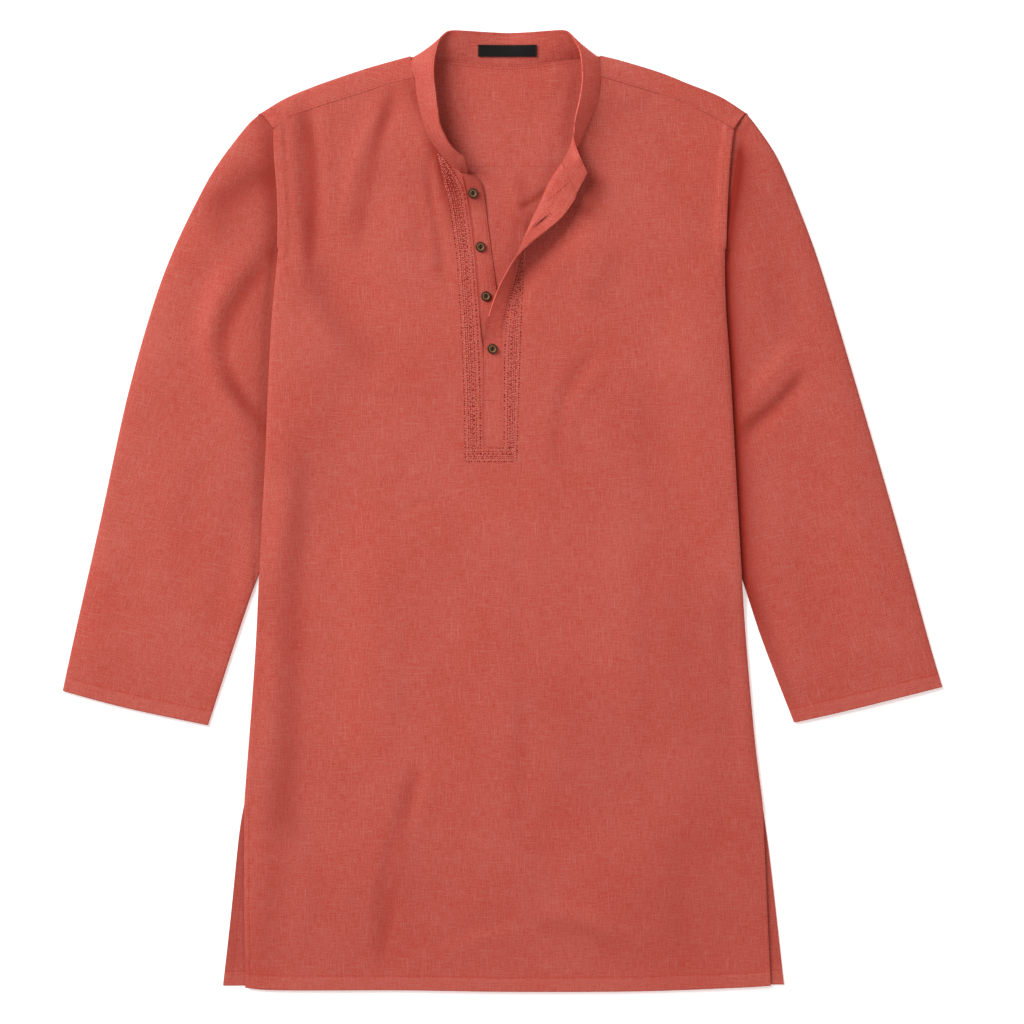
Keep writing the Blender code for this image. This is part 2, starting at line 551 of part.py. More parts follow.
def yoke_grids():
    shoulder_cols = len(TOWARD_CENTRE) - 1
    fold_r = placed(smooth(SHOULDER_RIGHT, 40)[::-1], TOWARD_CENTRE)
    fold_l = placed(smooth(SHOULDER_LEFT, 40), FROM_CENTRE)
    fold_r = fold_r + [SEAM, -FOLD_IN]
    fold_l = fold_l + [-SEAM, -FOLD_IN]
    back_neck = [(s.foot_x, s.foot_y) for s in BAND[11:20]]
    neck = smooth(back_neck, 10) - [0, BAND_SEAM]
    neck = np.vstack([fold_r[-1], neck, fold_l[0]])
    high = chain(fold_r, neck, fold_l)
    arm_r = chain(smooth([(-228, YOKE_BACK_Y), (-229.5, 382.5)], 3), smooth(ARMHOLE_CAP_RIGHT[::-1], CAP_ROWS))
    arm_l = chain(smooth([(226, YOKE_BACK_Y), (231.5, 382.5)], 3), smooth(ARMHOLE_CAP_LEFT[::-1], CAP_ROWS))
    arm_r = arm_r + [SEAM / 2, SEAM / 2]
    arm_l = arm_l + [-SEAM / 2, SEAM / 2]
    arm_r[-1], arm_l[-1] = high[0], high[-1]
    low = np.array([arm_r[0], arm_l[0]])
    run = np.concatenate([[0], np.cumsum(np.linalg.norm(np.diff(high, axis=0), axis=1))])
    under = spread(Patch(low, high, arm_r, arm_l), run / run[-1])
    under = raised(under, np.full(under.shape[:2], CLOTH / 2))
    grids = [under]
    for side, seam_line, cap, fold, edge in (
        (-1, YOKE_SEAM_RIGHT, ARMHOLE_CAP_RIGHT, fold_r, under[-1][:shoulder_cols + 1]),
        (1, YOKE_SEAM_LEFT, ARMHOLE_CAP_LEFT, fold_l, under[-1][-shoulder_cols - 1:]),
    ):
        front = smooth(seam_line, 40) + [0, SEAM / 2]
        front = placed(front[::-1], TOWARD_CENTRE) if side < 0 else placed(front, FROM_CENTRE)
        arm = smooth(cap, 3) + [-side * SEAM / 2, 0]
        neck_side = smooth([tuple(fold[-1 if side < 0 else 0]), (side * (96 if side < 0 else 100.6), 446),
                            tuple(front[-1 if side < 0 else 0])], 3)
        first, last = (arm, neck_side) if side < 0 else (neck_side, arm)
        first[0], last[0] = fold[0], fold[-1]
        first[-1], last[-1] = front[0], front[-1]
        plan = spread(Patch(fold, front, first, last), TOWARD_CENTRE if side < 0 else FROM_CENTRE)
        plan[0], plan[-1] = fold, front
        upper = raised(plan, front_level(plan))
        middle = (edge + upper[0]) / 2 + [0, FOLD_BULGE, 0]
        grids.append(np.concatenate([edge[None], middle[None], upper]))
    return grids


def band_grid():
    steps = 4
    rows = []
    feet = np.array([[s.foot_x, s.foot_y, s.foot_z] for s in BAND])
    tops = np.array([[s.top_x, s.top_y] for s in BAND])
    reach = np.linalg.norm(tops - feet[:, :2], axis=1)
    rise = np.sqrt(np.maximum(np.array([s.width for s in BAND]) ** 2 - reach**2, 1))
    tops = np.column_stack([tops, feet[:, 2] + rise])
    for k in range(steps + 1):
        t = k / steps
        row = feet * (1 - t) + tops * t
        bow = 4 * t * (1 - t)
        row[:, 2] += bow * 1.2
        rows.append(row)
    return np.array(rows)


def stand_grid():
    rows = len(BENDS) + 3
    outer = placed(shifted(smooth(STAND_OUTER, 40), -SEAM / 2), np.linspace(0.004, 0.995, rows))
    free = placed(smooth(STAND_FREE, 40), np.linspace(0.004, 1, rows))
    t = np.linspace(0, 1, 5)[None, :, None]
    plan = outer[:, None] * (1 - t) + free[:, None] * t
    under = 1 - ease((plan[..., 1] - 176) / 34)
    return raised(plan, front_level(plan) - under * 1.0)


def strip_grid(front_edge):
    """The buttonhole strip, from its seam round to its free edge."""
    rows = []
    for bend, base in zip(BENDS, front_edge):
        roll = bend.radius * math.radians(bend.turn)
        start = roll + bend.inner + SEAM / 2
        flat = 1 - ease(bend.turn / 20)
        row = turned(bend, base[2], start + np.linspace(0, 1, 5) * (PLACKET - SEAM))
        row[:, 2] += flat * 1.0
        rows.append(row)
    rows = np.array(rows)
    rows[0, :, 1] += SEAM
    along = rows[-1] - rows[-2]
    rows[-1] -= along / np.linalg.norm(along, axis=1)[:, None] * BAND_SEAM
    return rows[:, ::-1]


def button(name, spec, level, material):
    """A turned disc with a raised rim, drilled through twice."""
    mesh = bpy.data.meshes.new(name)
    made = bmesh.new()
    profile = [(0, 0), (BUTTON_RADIUS * 0.86, 0), (BUTTON_RADIUS, BUTTON_THICK * 0.45),
               (BUTTON_RADIUS * 0.88, BUTTON_THICK), (BUTTON_RADIUS * 0.66, BUTTON_THICK * 0.72),
               (0, BUTTON_THICK * 0.72)]
    verts = [made.verts.new((r * 0.001, 0, z * 0.001)) for r, z in profile]
    edges = [made.edges.new(pair) for pair in zip(verts, verts[1:])]
    bmesh.ops.spin(made, geom=verts + edges, cent=(0, 0, 0), axis=(0, 0, 1), angle=2 * math.pi, steps=18)
    bmesh.ops.remove_doubles(made, verts=made.verts, dist=1e-6)
    bmesh.ops.recalc_face_normals(made, faces=made.faces)
    made.to_mesh(mesh)
    made.free()
    mesh.shade_smooth()
    mesh.set_sharp_from_angle(angle=math.radians(40))
    obj = bpy.data.objects.new(name, mesh)
    obj.location = (spec.x * 0.001, spec.y * 0.001, level * 0.001)
    obj.rotation_euler = (0, 0, math.radians(spec.tilt))
    mesh.materials.append(material)
    bpy.context.scene.collection.objects.link(obj)
    for k, sign in enumerate((-1, 1)):
        cutter_mesh = bpy.data.meshes.new(f"{name}_drill_{k}")
        drill = bmesh.new()
        bmesh.ops.create_cone(drill, cap_ends=True, segments=8, radius1=HOLE_RADIUS * 0.001,
                              radius2=HOLE_RADIUS * 0.001, depth=0.012)
        drill.to_mesh(cutter_mesh)
        drill.free()
        cutter = bpy.data.objects.new(cutter_mesh.name, cutter_mesh)
        bpy.context.scene.collection.objects.link(cutter)
        cutter.parent = obj
        cutter.location = (0, sign * HOLE_APART / 2 * 0.001, 0)
        cutter.hide_render = True
        cutter.display_type = "WIRE"
        cut = obj.modifiers.new(f"hole_{k}", "BOOLEAN")
        cut.operation = "DIFFERENCE"
        cut.object = cutter
    return obj


def label_grid(band):
    """The label's middle, laid over the inner face of the band's back."""
    wide, high, thick = LABEL
    x0, y0 = LABEL_AT
    xs = np.linspace(x0 - wide / 2, x0 + wide / 2, 7)
    ys = np.linspace(y0 - high / 2, y0 + high / 2, 3)
    back = band[:, 11:20]
    flat = back.reshape(-1, 3)
    rows = []
    for y in ys:
        row = []
        for x in xs:
            near = np.exp(-((flat[:, 0] - x) ** 2 + (flat[:, 1] - y) ** 2) / 60)
            z = (near * flat[:, 2]).sum() / near.sum()
            row.append([x, y, z + BAND_WALL / 2 + LAY + 0.5 + thick / 2])
        rows.append(row)
    return np.array(rows)


def main():
    for obj in list(bpy.data.objects):
        bpy.data.objects.remove(obj)
    linen = finish("coral_linen", (0.56, 0.105, 0.075), 0.85)
    horn = finish("dark_horn", (0.05, 0.028, 0.015), 0.35)
    satin = finish("black_satin", (0.008, 0.008, 0.009), 0.55)

    front = front_grids()
    sheet("front_panel", front, CLOTH, linen)
    sheet("back_panel", back_grids(), CLOTH, linen)
    sheet("yoke", yoke_grids(), CLOTH, linen)
    sheet("sleeve_right", [sleeve_grid(-1)], CLOTH, linen, ring=True)
    sheet("sleeve_left", [sleeve_grid(1)], CLOTH, linen, ring=True)
    band = band_grid()
    sheet("collar_band", [band], BAND_WALL, linen)
    stand = stand_grid()
    sheet("button_stand", [stand], CLOTH, linen)
    strip = strip_grid(front[2][:len(BENDS), 0])
    sheet("buttonhole_strip", [strip], CLOTH, linen)
    sheet("neck_label", [label_grid(band)], LABEL[2], satin)

    for k, spec in enumerate(BUTTONS):
        under = stand if k < len(BUTTONS) - 1 else strip
        flat = under.reshape(-1, 3)
        near = np.argsort(np.hypot(flat[:, 0] - spec.x, flat[:, 1] - spec.y))[:6]
        level = flat[near, 2].max() + CLOTH / 2 + SEAM
        button(f"button_{k + 1}", spec, level, horn)


main()
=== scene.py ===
"""The looks of a kurta tunic in coral linen, laid flat on a pale surface with its front up.

Sizes are in millimetres and become metres in the meshes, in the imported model's own frame: X runs
across the garment with the wearer's left at +X, Y up it towards the collar, and Z up.
"""

import math
from collections import namedtuple

import bmesh
import bpy
import numpy as np
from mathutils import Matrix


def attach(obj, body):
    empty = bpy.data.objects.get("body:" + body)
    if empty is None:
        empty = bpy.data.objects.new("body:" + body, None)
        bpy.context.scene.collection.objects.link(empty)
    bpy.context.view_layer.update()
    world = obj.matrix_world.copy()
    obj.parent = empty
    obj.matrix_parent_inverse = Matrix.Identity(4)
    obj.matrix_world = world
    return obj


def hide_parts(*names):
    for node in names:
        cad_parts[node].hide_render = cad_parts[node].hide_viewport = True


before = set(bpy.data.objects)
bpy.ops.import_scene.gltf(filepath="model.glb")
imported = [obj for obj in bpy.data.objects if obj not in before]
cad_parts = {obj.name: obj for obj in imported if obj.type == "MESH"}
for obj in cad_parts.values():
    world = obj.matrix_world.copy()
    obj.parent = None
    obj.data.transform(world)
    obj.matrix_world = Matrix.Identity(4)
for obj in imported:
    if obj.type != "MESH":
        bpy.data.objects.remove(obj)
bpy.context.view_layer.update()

MM = 0.001
R, L = -1, 1  # the wearer's right and left
CLOTH = 1.2  # the height that each layer takes up
WALL = 0.8  # wall of the linen itself
STRIP_WALL = WALL + 0.3  # wall of the placket's two strips
BAND_WALL = 1.6
SEAM = -0.1  # gap between pieces sewn together, so they just overlap
BAND_SEAM = 0.3  # gap round the band's foot
LAY = 0.4  # air between two layers
LOFT = 3.3  # how high the front rises over the back
SLEEVE_LOFT = 4.3
ROUND = 28.0  # how far in from a fold the loft is full
NECK_LOFT = 2.6  # extra height beside the band
NECK_REACH = 38.0
TUCK_LIFT = 3.1  # how far a tucked sleeve lifts the body
TUCK_RAMP = 46.0
PRESS_CLEAR = 4.0  # how far out from the body's side the sleeve lies flat
FOLD_IN = 1.2  # from a folded edge in to the cloth's middle
FOLD_BULGE = 0.6
PLACKET = 18.0  # width of the buttonhole strip
ARMPIT_Y = 261.5
YOKE_BACK_Y = 345.5
YOKE_BACK_X = {R: -228, L: 226}
BESIDE_NECK = {R: (-90.4, 446), L: (98.0, 446)}
HEM_TURN = 14.0  # depth of the hem at the front and the cuffs
BACK_HEM_TURN = 11.0
VENT_TURN = 6.0
WELT = 11.0  # width of the armhole's seam allowance
YOKE_WELT = 2.6
BAND_MIDDLE_X = 6.5
LABEL = (58.6, 11.5, 0.9)
LABEL_AT = (5.0, 460.5)
STEP = 3.7  # about the size of the finest squares of cloth
FAR = 40.0  # where a mark on the cloth counts for nothing

# Folded and seamed outlines, as (x, y) down each side of the garment.
SHOULDER = {
    R: [(-91.8, 456), (-108.5, 451.5), (-136.5, 443.5), (-166.5, 433.5),
        (-191.5, 424.5), (-217.5, 413.5), (-242.5, 398.5)],
    L: [(97.6, 456.6), (118.5, 451.5), (156.5, 440), (185.5, 428.5), (217.5, 415.5),
        (243.5, 399)],
}
YOKE_SEAM = {
    R: [(-88.8, 433.7), (-114.5, 427.5), (-134.5, 420.5), (-166.5, 410.5),
        (-191.5, 402.5), (-212, 396), (-229.5, 382.5)],
    L: [(98.6, 434.8), (115.5, 429.5), (153.5, 418.5), (174.5, 412), (205.5, 397.5),
        (231.5, 382.5)],
}
ARMHOLE_CAP = {
    R: [(-242.5, 398.5), (-234.5, 390), (-229.5, 382.5)],
    L: [(243.5, 399), (236.5, 390.5), (231.5, 382.5)],
}
ARMHOLE = {
    R: [(-229.5, 382.5), (-228.5, 355.5), (-226, 323.5), (-225, 290), (-225.5, 261.5)],
    L: [(231.5, 382.5), (228.8, 362), (226.8, 340), (225.2, 311.5), (224.2, 285),
        (223.5, 261.5)],
}
SIDE = {
    R: [(-225.5, 261.5), (-231.5, 197.5), (-235.5, 125.5), (-237.7, 65.5)],
    L: [(223.5, 261.5), (224, 211.5), (228.5, 146.5), (233, 65.5)],
}
SKIRT = {
    R: [(-237.7, 65.5), (-244.5, -65.5), (-249.5, -158.5), (-259.5, -291.5)],
    L: [(233, 65.5), (242.5, -98.5), (252.5, -218.5), (261.5, -293.5)],
}
VENT_FRONT = {
    R: [(-259.5, -291.5), (-259.5, -380), (-258.5, -476.5)],
    L: [(261.5, -293.5), (265.5, -391.5), (269.5, -474.5)],
}
VENT_BACK = {
    R: [(-259.5, -291.5), (-265, -324.5), (-273.5, -407.5), (-281, -474.5)],
    L: [(261.5, -293.5), (268.5, -344.5), (277.5, -423.5), (283, -473.5)],
}
SLEEVE_OUTER = {
    R: [(-242.5, 398.5), (-256.5, 385.5), (-282.5, 351.5), (-300.5, 321.5),
        (-329.5, 261.5), (-351.5, 201.5), (-376.5, 111.5), (-402.5, -8.5),
        (-429.5, -128.5), (-440.5, -179.5)],
    L: [(243.5, 399), (254.5, 385.5), (276.5, 351.5), (301.5, 291.5),
        (322.5, 231.5), (358.5, 111.5), (393.5, -8.5), (426.5, -128.5),
        (440.5, -175.5)],
}
SLEEVE_INNER = {
    R: [(-225.5, 261.5), (-222.5, 250), (-217, 236), (-206, 208), (-198, 165),
        (-197, 120), (-204, 60), (-222, -10), (-245, -66.5), (-266.5, -128.5),
        (-294.5, -214)],
    L: [(223.5, 261.5), (220.5, 250), (215, 236), (205, 205), (196, 165),
        (195, 120), (201, 60), (219, -10), (241, -72), (259.5, -128.5),
        (291.5, -211.5)],
}
CUFF = {
    R: [(-440.5, -179.5), (-376.5, -196.5), (-294.5, -214)],
    L: [(440.5, -175.5), (350.5, -198), (291.5, -211.5)],
}
HEM_FRONT = [(-258.5, -476.5), (-222.5, -479), (-102.5, -479), (9.5, -480.5), (137.5, -480),
             (233.5, -476.5), (269.5, -474.5)]
HEM_BACK = [(-281, -474.5), (0, -473), (283, -473.5)]
STAND_OUTER = [(-19.3, 65.5), (-19.5, 155.5), (-22, 180.5), (-26.5, 237.5), (-31.5, 288.5),
               (-37.5, 323), (-41, 337), (-44, 346)]
STAND_FREE = [(-2, 65.5), (-2.5, 170), (-6, 219.5), (-13.5, 275.5), (-18, 312), (-20.8, 325.5),
              (-25.8, 333.8), (-31.5, 338.5), (-38, 345)]

# The opening's right edge, from the placket's foot up to the band: where the cloth bends, the way
# its layers lie from there in degrees, how far it has turned over, the roll's radius, and the
# front's own cloth between the roll and the strip.
Bend = namedtuple("Bend", "x y aim turn radius inner")
BENDS = [
    Bend(-1.3, 65.5, 0, 0, 2, 2),
    Bend(-1.2, 108.5, 0, 0, 2, 2),
    Bend(-1.1, 160.0, 0, 4, 2, 2),
    Bend(-0.2, 180.0, 0, 25, 2, 2),
    Bend(1.8, 196.0, 0, 37, 2, 2),
    Bend(7.0, 219.0, 0, 49, 2.5, 2),
    Bend(12.0, 239.0, -6, 69, 2.8, 2),
    Bend(13.5, 254.0, -14, 92, 3, 2),
    Bend(20.5, 270.5, -22, 114, 3.4, 2),
    Bend(28.5, 289.5, -28, 145, 4, 3),
    Bend(37.5, 308.5, -32, 166, 4.5, 6),
    Bend(46.5, 328.5, -40, 176, 5, 8.5),
    Bend(59.0, 347.5, -62, 181, 5, 9),
]

# The collar band, from the wearer's right front round the back: its foot on the neckline, its free
# edge in plan, how wide the cloth of the band is there, and how high its foot lies.
Stay = namedtuple("Stay", "foot_x foot_y top_x top_y width foot_z")
BAND = [
    Stay(-34.8, 339.2, -37.0, 351.0, 19.2, 9.0),
    Stay(-46.0, 343.5, -41.0, 354.5, 20.0, 9.2),
    Stay(-57.0, 353.5, -49.5, 361.5, 21.0, 9.2),
    Stay(-66.5, 365.0, -56.0, 371.5, 22.0, 9.0),
    Stay(-75.5, 379.5, -62.0, 386.0, 23.5, 8.6),
    Stay(-82.0, 400.0, -64.5, 403.0, 25.0, 8.0),
    Stay(-85.5, 415.5, -66.0, 416.0, 26.0, 7.4),
    Stay(-88.5, 434.0, -68.0, 434.0, 27.0, 6.4),
    Stay(-91.0, 446.0, -67.5, 449.0, 29.0, 5.2),
    Stay(-90.0, 452.0, -65.5, 460.0, 30.0, 4.0),
    Stay(-85.0, 456.0, -62.5, 469.0, 30.5, 3.0),
    Stay(-76.0, 456.5, -57.5, 476.5, 31.0, 2.2),
    Stay(-62.0, 454.0, -50.5, 480.0, 31.0, 1.6),
    Stay(-40.0, 451.2, -36.0, 479.9, 31.0, 1.1),
    Stay(-15.0, 448.4, -12.0, 479.0, 31.4, 1.0),
    Stay(6.5, 447.0, 6.5, 478.5, 31.7, 1.0),
    Stay(30.0, 448.6, 27.0, 479.0, 31.4, 1.0),
    Stay(52.0, 451.6, 46.0, 479.9, 31.0, 1.2),
    Stay(72.0, 454.6, 60.5, 480.0, 31.0, 1.8),
    Stay(86.0, 456.8, 67.5, 476.0, 31.0, 2.6),
    Stay(94.0, 455.0, 72.5, 468.0, 30.5, 3.6),
    Stay(98.0, 449.5, 77.0, 458.0, 30.0, 4.6),
    Stay(99.0, 441.0, 79.0, 445.0, 28.5, 5.6),
    Stay(98.5, 430.0, 79.5, 430.0, 27.0, 6.6),
    Stay(93.5, 407.5, 77.0, 411.0, 25.5, 7.8),
    Stay(85.0, 387.0, 73.5, 396.0, 24.0, 8.6),
    Stay(74.5, 365.5, 71.5, 384.0, 23.5, 9.4),
    Stay(65.0, 355.5, 71.3, 374.0, 22.8, 11.4),
    Stay(60.7, 348.6, 73.0, 364.5, 21.6, 14.6),
    Stay(63.5, 341.0, 76.5, 355.0, 19.8, 18.0),
    Stay(69.0, 330.5, 80.5, 346.0, 19.5, 18.0),
    Stay(75.0, 319.0, 84.5, 337.5, 20.9, 17.4),
]

Button = namedtuple("Button", "x y tilt")
BUTTONS = [
    Button(-29.5, 318.0, 4),
    Button(-21.9, 264.5, 3),
    Button(-16.5, 215.1, 2),
    Button(-10.1, 162.5, 0),
]

# The creases of the cloth: a bent line from start through bend to end, how far it reaches to each
# side, and how deep it lies. A negative depth is a ridge.
Fold = namedtuple("Fold", "start bend end reach depth")
FRONT_CREASES = [
    Fold((-199, 412), (-196, 330), (-190, 256), 9, 2.9),
    Fold((-182, 408), (-178, 350), (-174, 290), 9, -1.2),
    Fold((-186, 246), (-160, 190), (-122, 140), 16, 2.2),
    Fold((-206, 250), (-188, 200), (-160, 140), 14, -1.0),
    Fold((-106, 410), (-134, 350), (-150, 276), 8, 1.9),
    Fold((-104, 400), (-128, 350), (-140, 290), 9, -0.8),
    Fold((-79, 352), (-66, 290), (-57, 226), 6, 1.9),
    Fold((-92, 350), (-84, 300), (-80, 250), 8, 0.9),
    Fold((-62, 356), (-60, 334), (-57, 306), 3, 1.4),
    Fold((-71, 366), (-72, 336), (-68, 306), 3.4, 1.2),
    Fold((-200, 70), (-207, -110), (-213, -290), 16, 1.9),
    Fold((-228, 30), (-233, -120), (-236, -278), 11, -0.7),
    Fold((-86, -256), (-112, -350), (-124, -444), 8, 1.7),
    Fold((-70, -262), (-98, -350), (-108, -440), 10, -1.0),
    Fold((98, 168), (60, 112), (54, 44), 8, 1.0),
    Fold((104, 150), (70, 104), (62, 52), 9, -0.6),
    Fold((17, 40), (18, -150), (16, -300), 8, 0.4),
    Fold((145, 136), (144, 76), (146, 12), 9, 0.5),
    Fold((145, -44), (147, -160), (144, -296), 10, 0.4),
    Fold((-102, -454), (57, -404), (147, -434), 12, -1.1),
    Fold((-107, -4), (-86, 8), (-62, 12), 3.4, 0.7),
    Fold((-157, 116), (-104, 114), (-52, 116), 3.4, 0.5),
    Fold((-100, -100), (-96, -170), (-104, -240), 14, 0.5),
    Fold((205, 330), (196, 250), (204, 170), 14, 0.7),
    Fold((160, 400), (172, 350), (178, 300), 12, 0.6),
    Fold((110, 408), (96, 350), (98, 300), 14, 0.5),
    Fold((222, -40), (228, -150), (232, -250), 10, 0.8),
    Fold((70, -250), (40, -330), (36, -400), 14, 0.5),
    Fold((190, -320), (176, -380), (184, -440), 12, 0.5),
    Fold((-190, -330), (-184, -390), (-196, -450), 11, 0.6),
]
BACK_CREASES = [
    Fold((41, 436), (42, 420), (40, 402), 2.2, 0.7),
    Fold((63, 440), (56, 420), (46, 396), 6, 0.7),
    Fold((-50, 442), (-20, 437), (10, 436), 3, 0.4),
    Fold((-30, 352), (-34, 384), (-30, 420), 8, 0.4),
    Fold((54, 372), (50, 360), (52, 340), 3, 0.7),
    Fold((14, 372), (12, 356), (16, 342), 4, 0.4),
    Fold((28, 298), (30, 278), (22, 252), 4, 1.1),
    Fold((12, 300), (14, 270), (10, 230), 4, 0.8),
    Fold((42, 321), (28, 312), (17, 306), 3, 1.0),
    Fold((-2, 332), (0, 300), (-4, 262), 7, 0.5),
    Fold((30, 440), (32, 410), (28, 380), 5, 0.4),
    Fold((-40, 436), (-36, 404), (-40, 372), 6, 0.35),
]
SLEEVE_CREASES = [
    Fold((-233, 262), (-283, 165), (-238, 76), 9, 3.0),
    Fold((-256, 262), (-298, 176), (-262, 70), 12, -1.2),
    Fold((-232, 337), (-260, 320), (-290, 300), 14, 2.4),
    Fold((-250, 362), (-272, 330), (-296, 296), 12, 0.5),
    Fold((303, 136), (274, 104), (238, 72), 8, 2.6),
    Fold((290, 164), (260, 128), (236, 96), 9, -1.1),
    Fold((240, 384), (228, 330), (226, 282), 7, 1.6),
    Fold((262, 330), (276, 240), (290, 180), 20, 0.8),
    Fold((-330, 60), (-340, -40), (-352, -130), 22, -0.6),
    Fold((338, 40), (352, -50), (368, -140), 22, -0.6),
    Fold((-300, 60), (-316, -20), (-330, -100), 14, 0.5),
    Fold((-262, 40), (-272, -40), (-290, -130), 12, 0.6),
    Fold((290, 20), (300, -60), (318, -150), 14, 0.5),
    Fold((-352, 150), (-372, 60), (-392, -40), 12, 0.4),
    Fold((350, 60), (380, -40), (402, -130), 12, 0.5),
]

# Painted shade in the hollows, and painted highlight on the rises where the depth is negative: rows
# as for the creases.
FRONT_PAINTED_SHADES = [
    Fold((-197, 412), (-189, 330), (-196, 225), 8, 3.0),
    Fold((-214, 250), (-208, 226), (-200, 200), 10, 1.0),
    Fold((-212, -226), (-222, -280), (-214, -330), 18, 1.4),
    Fold((60, -160), (90, -260), (80, -320), 46, 0.8),
    Fold((150, 130), (150, 10), (150, -60), 30, 0.5),
    Fold((-203, 90), (-209, -90), (-212, -262), 13, 1.0),
    Fold((-214, -260), (-228, -340), (-246, -470), 18, 1.1),
    Fold((-110, 430), (-129, 350), (-147, 264), 7, 2.8),
    Fold((-99, 440), (-67, 370), (-45, 274), 8, 2.9),
    Fold((-60, 352), (-48, 330), (-34, 318), 8, 2.0),
    Fold((-74, 380), (-58, 344), (-38, 292), 9, 2.2),
    Fold((-88, -256), (-102, -350), (-124, -452), 7, 1.8),
    Fold((78, 156), (62, 110), (56, 44), 8, 0.8),
    Fold((97, 336), (91, 312), (78, 292), 11, 2.8),
    Fold((186, -60), (212, -280), (186, -470), 62, 1.0),
    Fold((-260, -420), (0, -400), (262, -430), 84, 0.7),
    Fold((20, -170), (18, -250), (14, -340), 8, 0.6),
    Fold((104, 412), (122, 404), (150, 414), 8, 0.8),
    Fold((-235, 40), (-240, -60), (-252, -290), 6, 0.7),
    Fold((224, 380), (218, 330), (212, 270), 8, -0.8),
    Fold((222, 120), (226, 20), (232, -60), 12, -0.8),
    Fold((-222, 40), (-222, -20), (-226, -100), 12, -1.4),
    Fold((228, -120), (236, -220), (244, -290), 12, -0.6),
    Fold((-219, 372), (-217, 320), (-215, 262), 6, -0.8),
    Fold((-131, 404), (-150, 350), (-160, 300), 8, -1.6),
    Fold((-118, 330), (-122, 250), (-112, 180), 22, -0.7),
    Fold((-140, 30), (-146, -110), (-150, -250), 22, -0.9),
    Fold((-60, 20), (-10, 0), (30, 20), 20, -0.5),
    Fold((-100, -446), (10, -404), (140, -436), 11, 0.8),
    Fold((118, 266), (102, 236), (84, 204), 13, 1.2),
    Fold((84, 286), (32, 236), (-14, 176), 13, -6.0),
]
BACK_PAINTED_SHADES = [
    Fold((-262, -300), (-268, -400), (-270, -475), 13, 2.0),
    Fold((268, -300), (274, -400), (278, -474), 13, 2.0),
    Fold((72, 446), (68, 410), (62, 366), 8, 1.6),
    Fold((18, 340), (20, 310), (14, 280), 7, 1.6),
    Fold((28, 290), (30, 276), (22, 256), 8, 2.6),
    Fold((45, 300), (40, 290), (30, 276), 10, 1.6),
    Fold((46, 324), (32, 312), (16, 304), 3.4, 3.4),
    Fold((-60, 404), (-56, 376), (-44, 350), 12, 1.2),
]
SLEEVE_PAINTED_SHADES = [
    Fold((-234, 350), (-262, 320), (-294, 276), 20, 1.9),
    Fold((-240, 392), (-233, 330), (-232, 250), 9, 2.2),
    Fold((-229, 262), (-281, 163), (-236, 76), 8, 2.4),
    Fold((-286, 246), (-295, 186), (-280, 130), 10, -2.2),
    Fold((-246, 10), (-262, -90), (-288, -206), 13, -2.2),
    Fold((262, 340), (268, 250), (276, 150), 24, 0.5),
    Fold((246, -70), (268, -136), (292, -206), 9, 1.8),
    Fold((302, 142), (276, 114), (240, 84), 5, 2.0),
    Fold((296, 172), (276, 150), (252, 124), 8, -1.1),
]

Patch = namedtuple("Patch", "low high first last")


def smooth(points, count):
    """count + 1 points along a smooth curve through the given ones, evenly spaced in plan."""
    p = np.array(points, float)
    p = np.vstack([2 * p[0] - p[1], p, 2 * p[-1] - p[-2]])
    dense = []
    for a, b, c, d in zip(p, p[1:], p[2:], p[3:]):
        for t in np.linspace(0, 1, 12, endpoint=False):
            cubic = 2 * a - 5 * b + 4 * c - d + t * (3 * b - a - 3 * c + d)
            dense.append(b + 0.5 * t * (c - a + t * cubic))
    dense.append(p[-2])
    dense = np.array(dense)
    return placed(dense, np.linspace(0, 1, count + 1))


def run_of(curve):
    """Distance along a curve, in plan, up to each of its points."""
    steps = np.linalg.norm(np.diff(curve[:, :2], axis=0), axis=1)
    return np.concatenate([[0], np.cumsum(steps)])


def placed(curve, shares):
    """A curve sampled again at shares of its length."""
    run = run_of(curve)
    at = np.array(shares) * run[-1]
    return np.stack([np.interp(at, run, curve[:, k]) for k in range(curve.shape[1])], axis=1)


def chain(*curves):
    """Curves joined end to end, each starting where the one before stops."""
    return np.vstack([curves[0]] + [c[1:] for c in curves[1:]])


def shifted(curve, by):
    """A plan curve moved to the left of its own direction by a distance."""
    along = np.gradient(curve, axis=0)
    along /= np.linalg.norm(along, axis=1)[:, None]
    return curve + by * np.stack([-along[:, 1], along[:, 0]], axis=1)


def spread(patch, stations, shares=None):
    """Plan points over a four-sided patch: rows follow its sides, columns the stations across."""
    low = placed(patch.low, stations)
    high = placed(patch.high, stations)
    t = np.linspace(0, 1, len(patch.first)) if shares is None else np.array(shares)
    t = t[:, None, None]
    s = np.array(stations)[None, :, None]
    first = patch.first[:, None, :]
    last = patch.last[:, None, :]
    corners = ((1 - s) * (1 - t) * low[0] + s * (1 - t) * low[-1]
               + (1 - s) * t * high[0] + s * t * high[-1])
    return (1 - s) * first + s * last + (1 - t) * low[None] + t * high[None] - corners


def ease(t):
    """A soft step, from 0 where t is 0 to 1 where t is 1."""
    t = np.clip(t, 0, 1)
    return t * t * (3 - 2 * t)


def distance(points, lines):
    """From each plan point to the nearest of some lines."""
    best = np.full(points.shape[:-1], 1e9)
    for line in lines:
        line = np.array(line, float)
        for a, b in zip(line, line[1:]):
            ab = b - a
            t = np.clip(((points - a) @ ab) / (ab @ ab), 0, 1)
            best = np.minimum(best, np.linalg.norm(points - a - t[..., None] * ab, axis=-1))
    return best


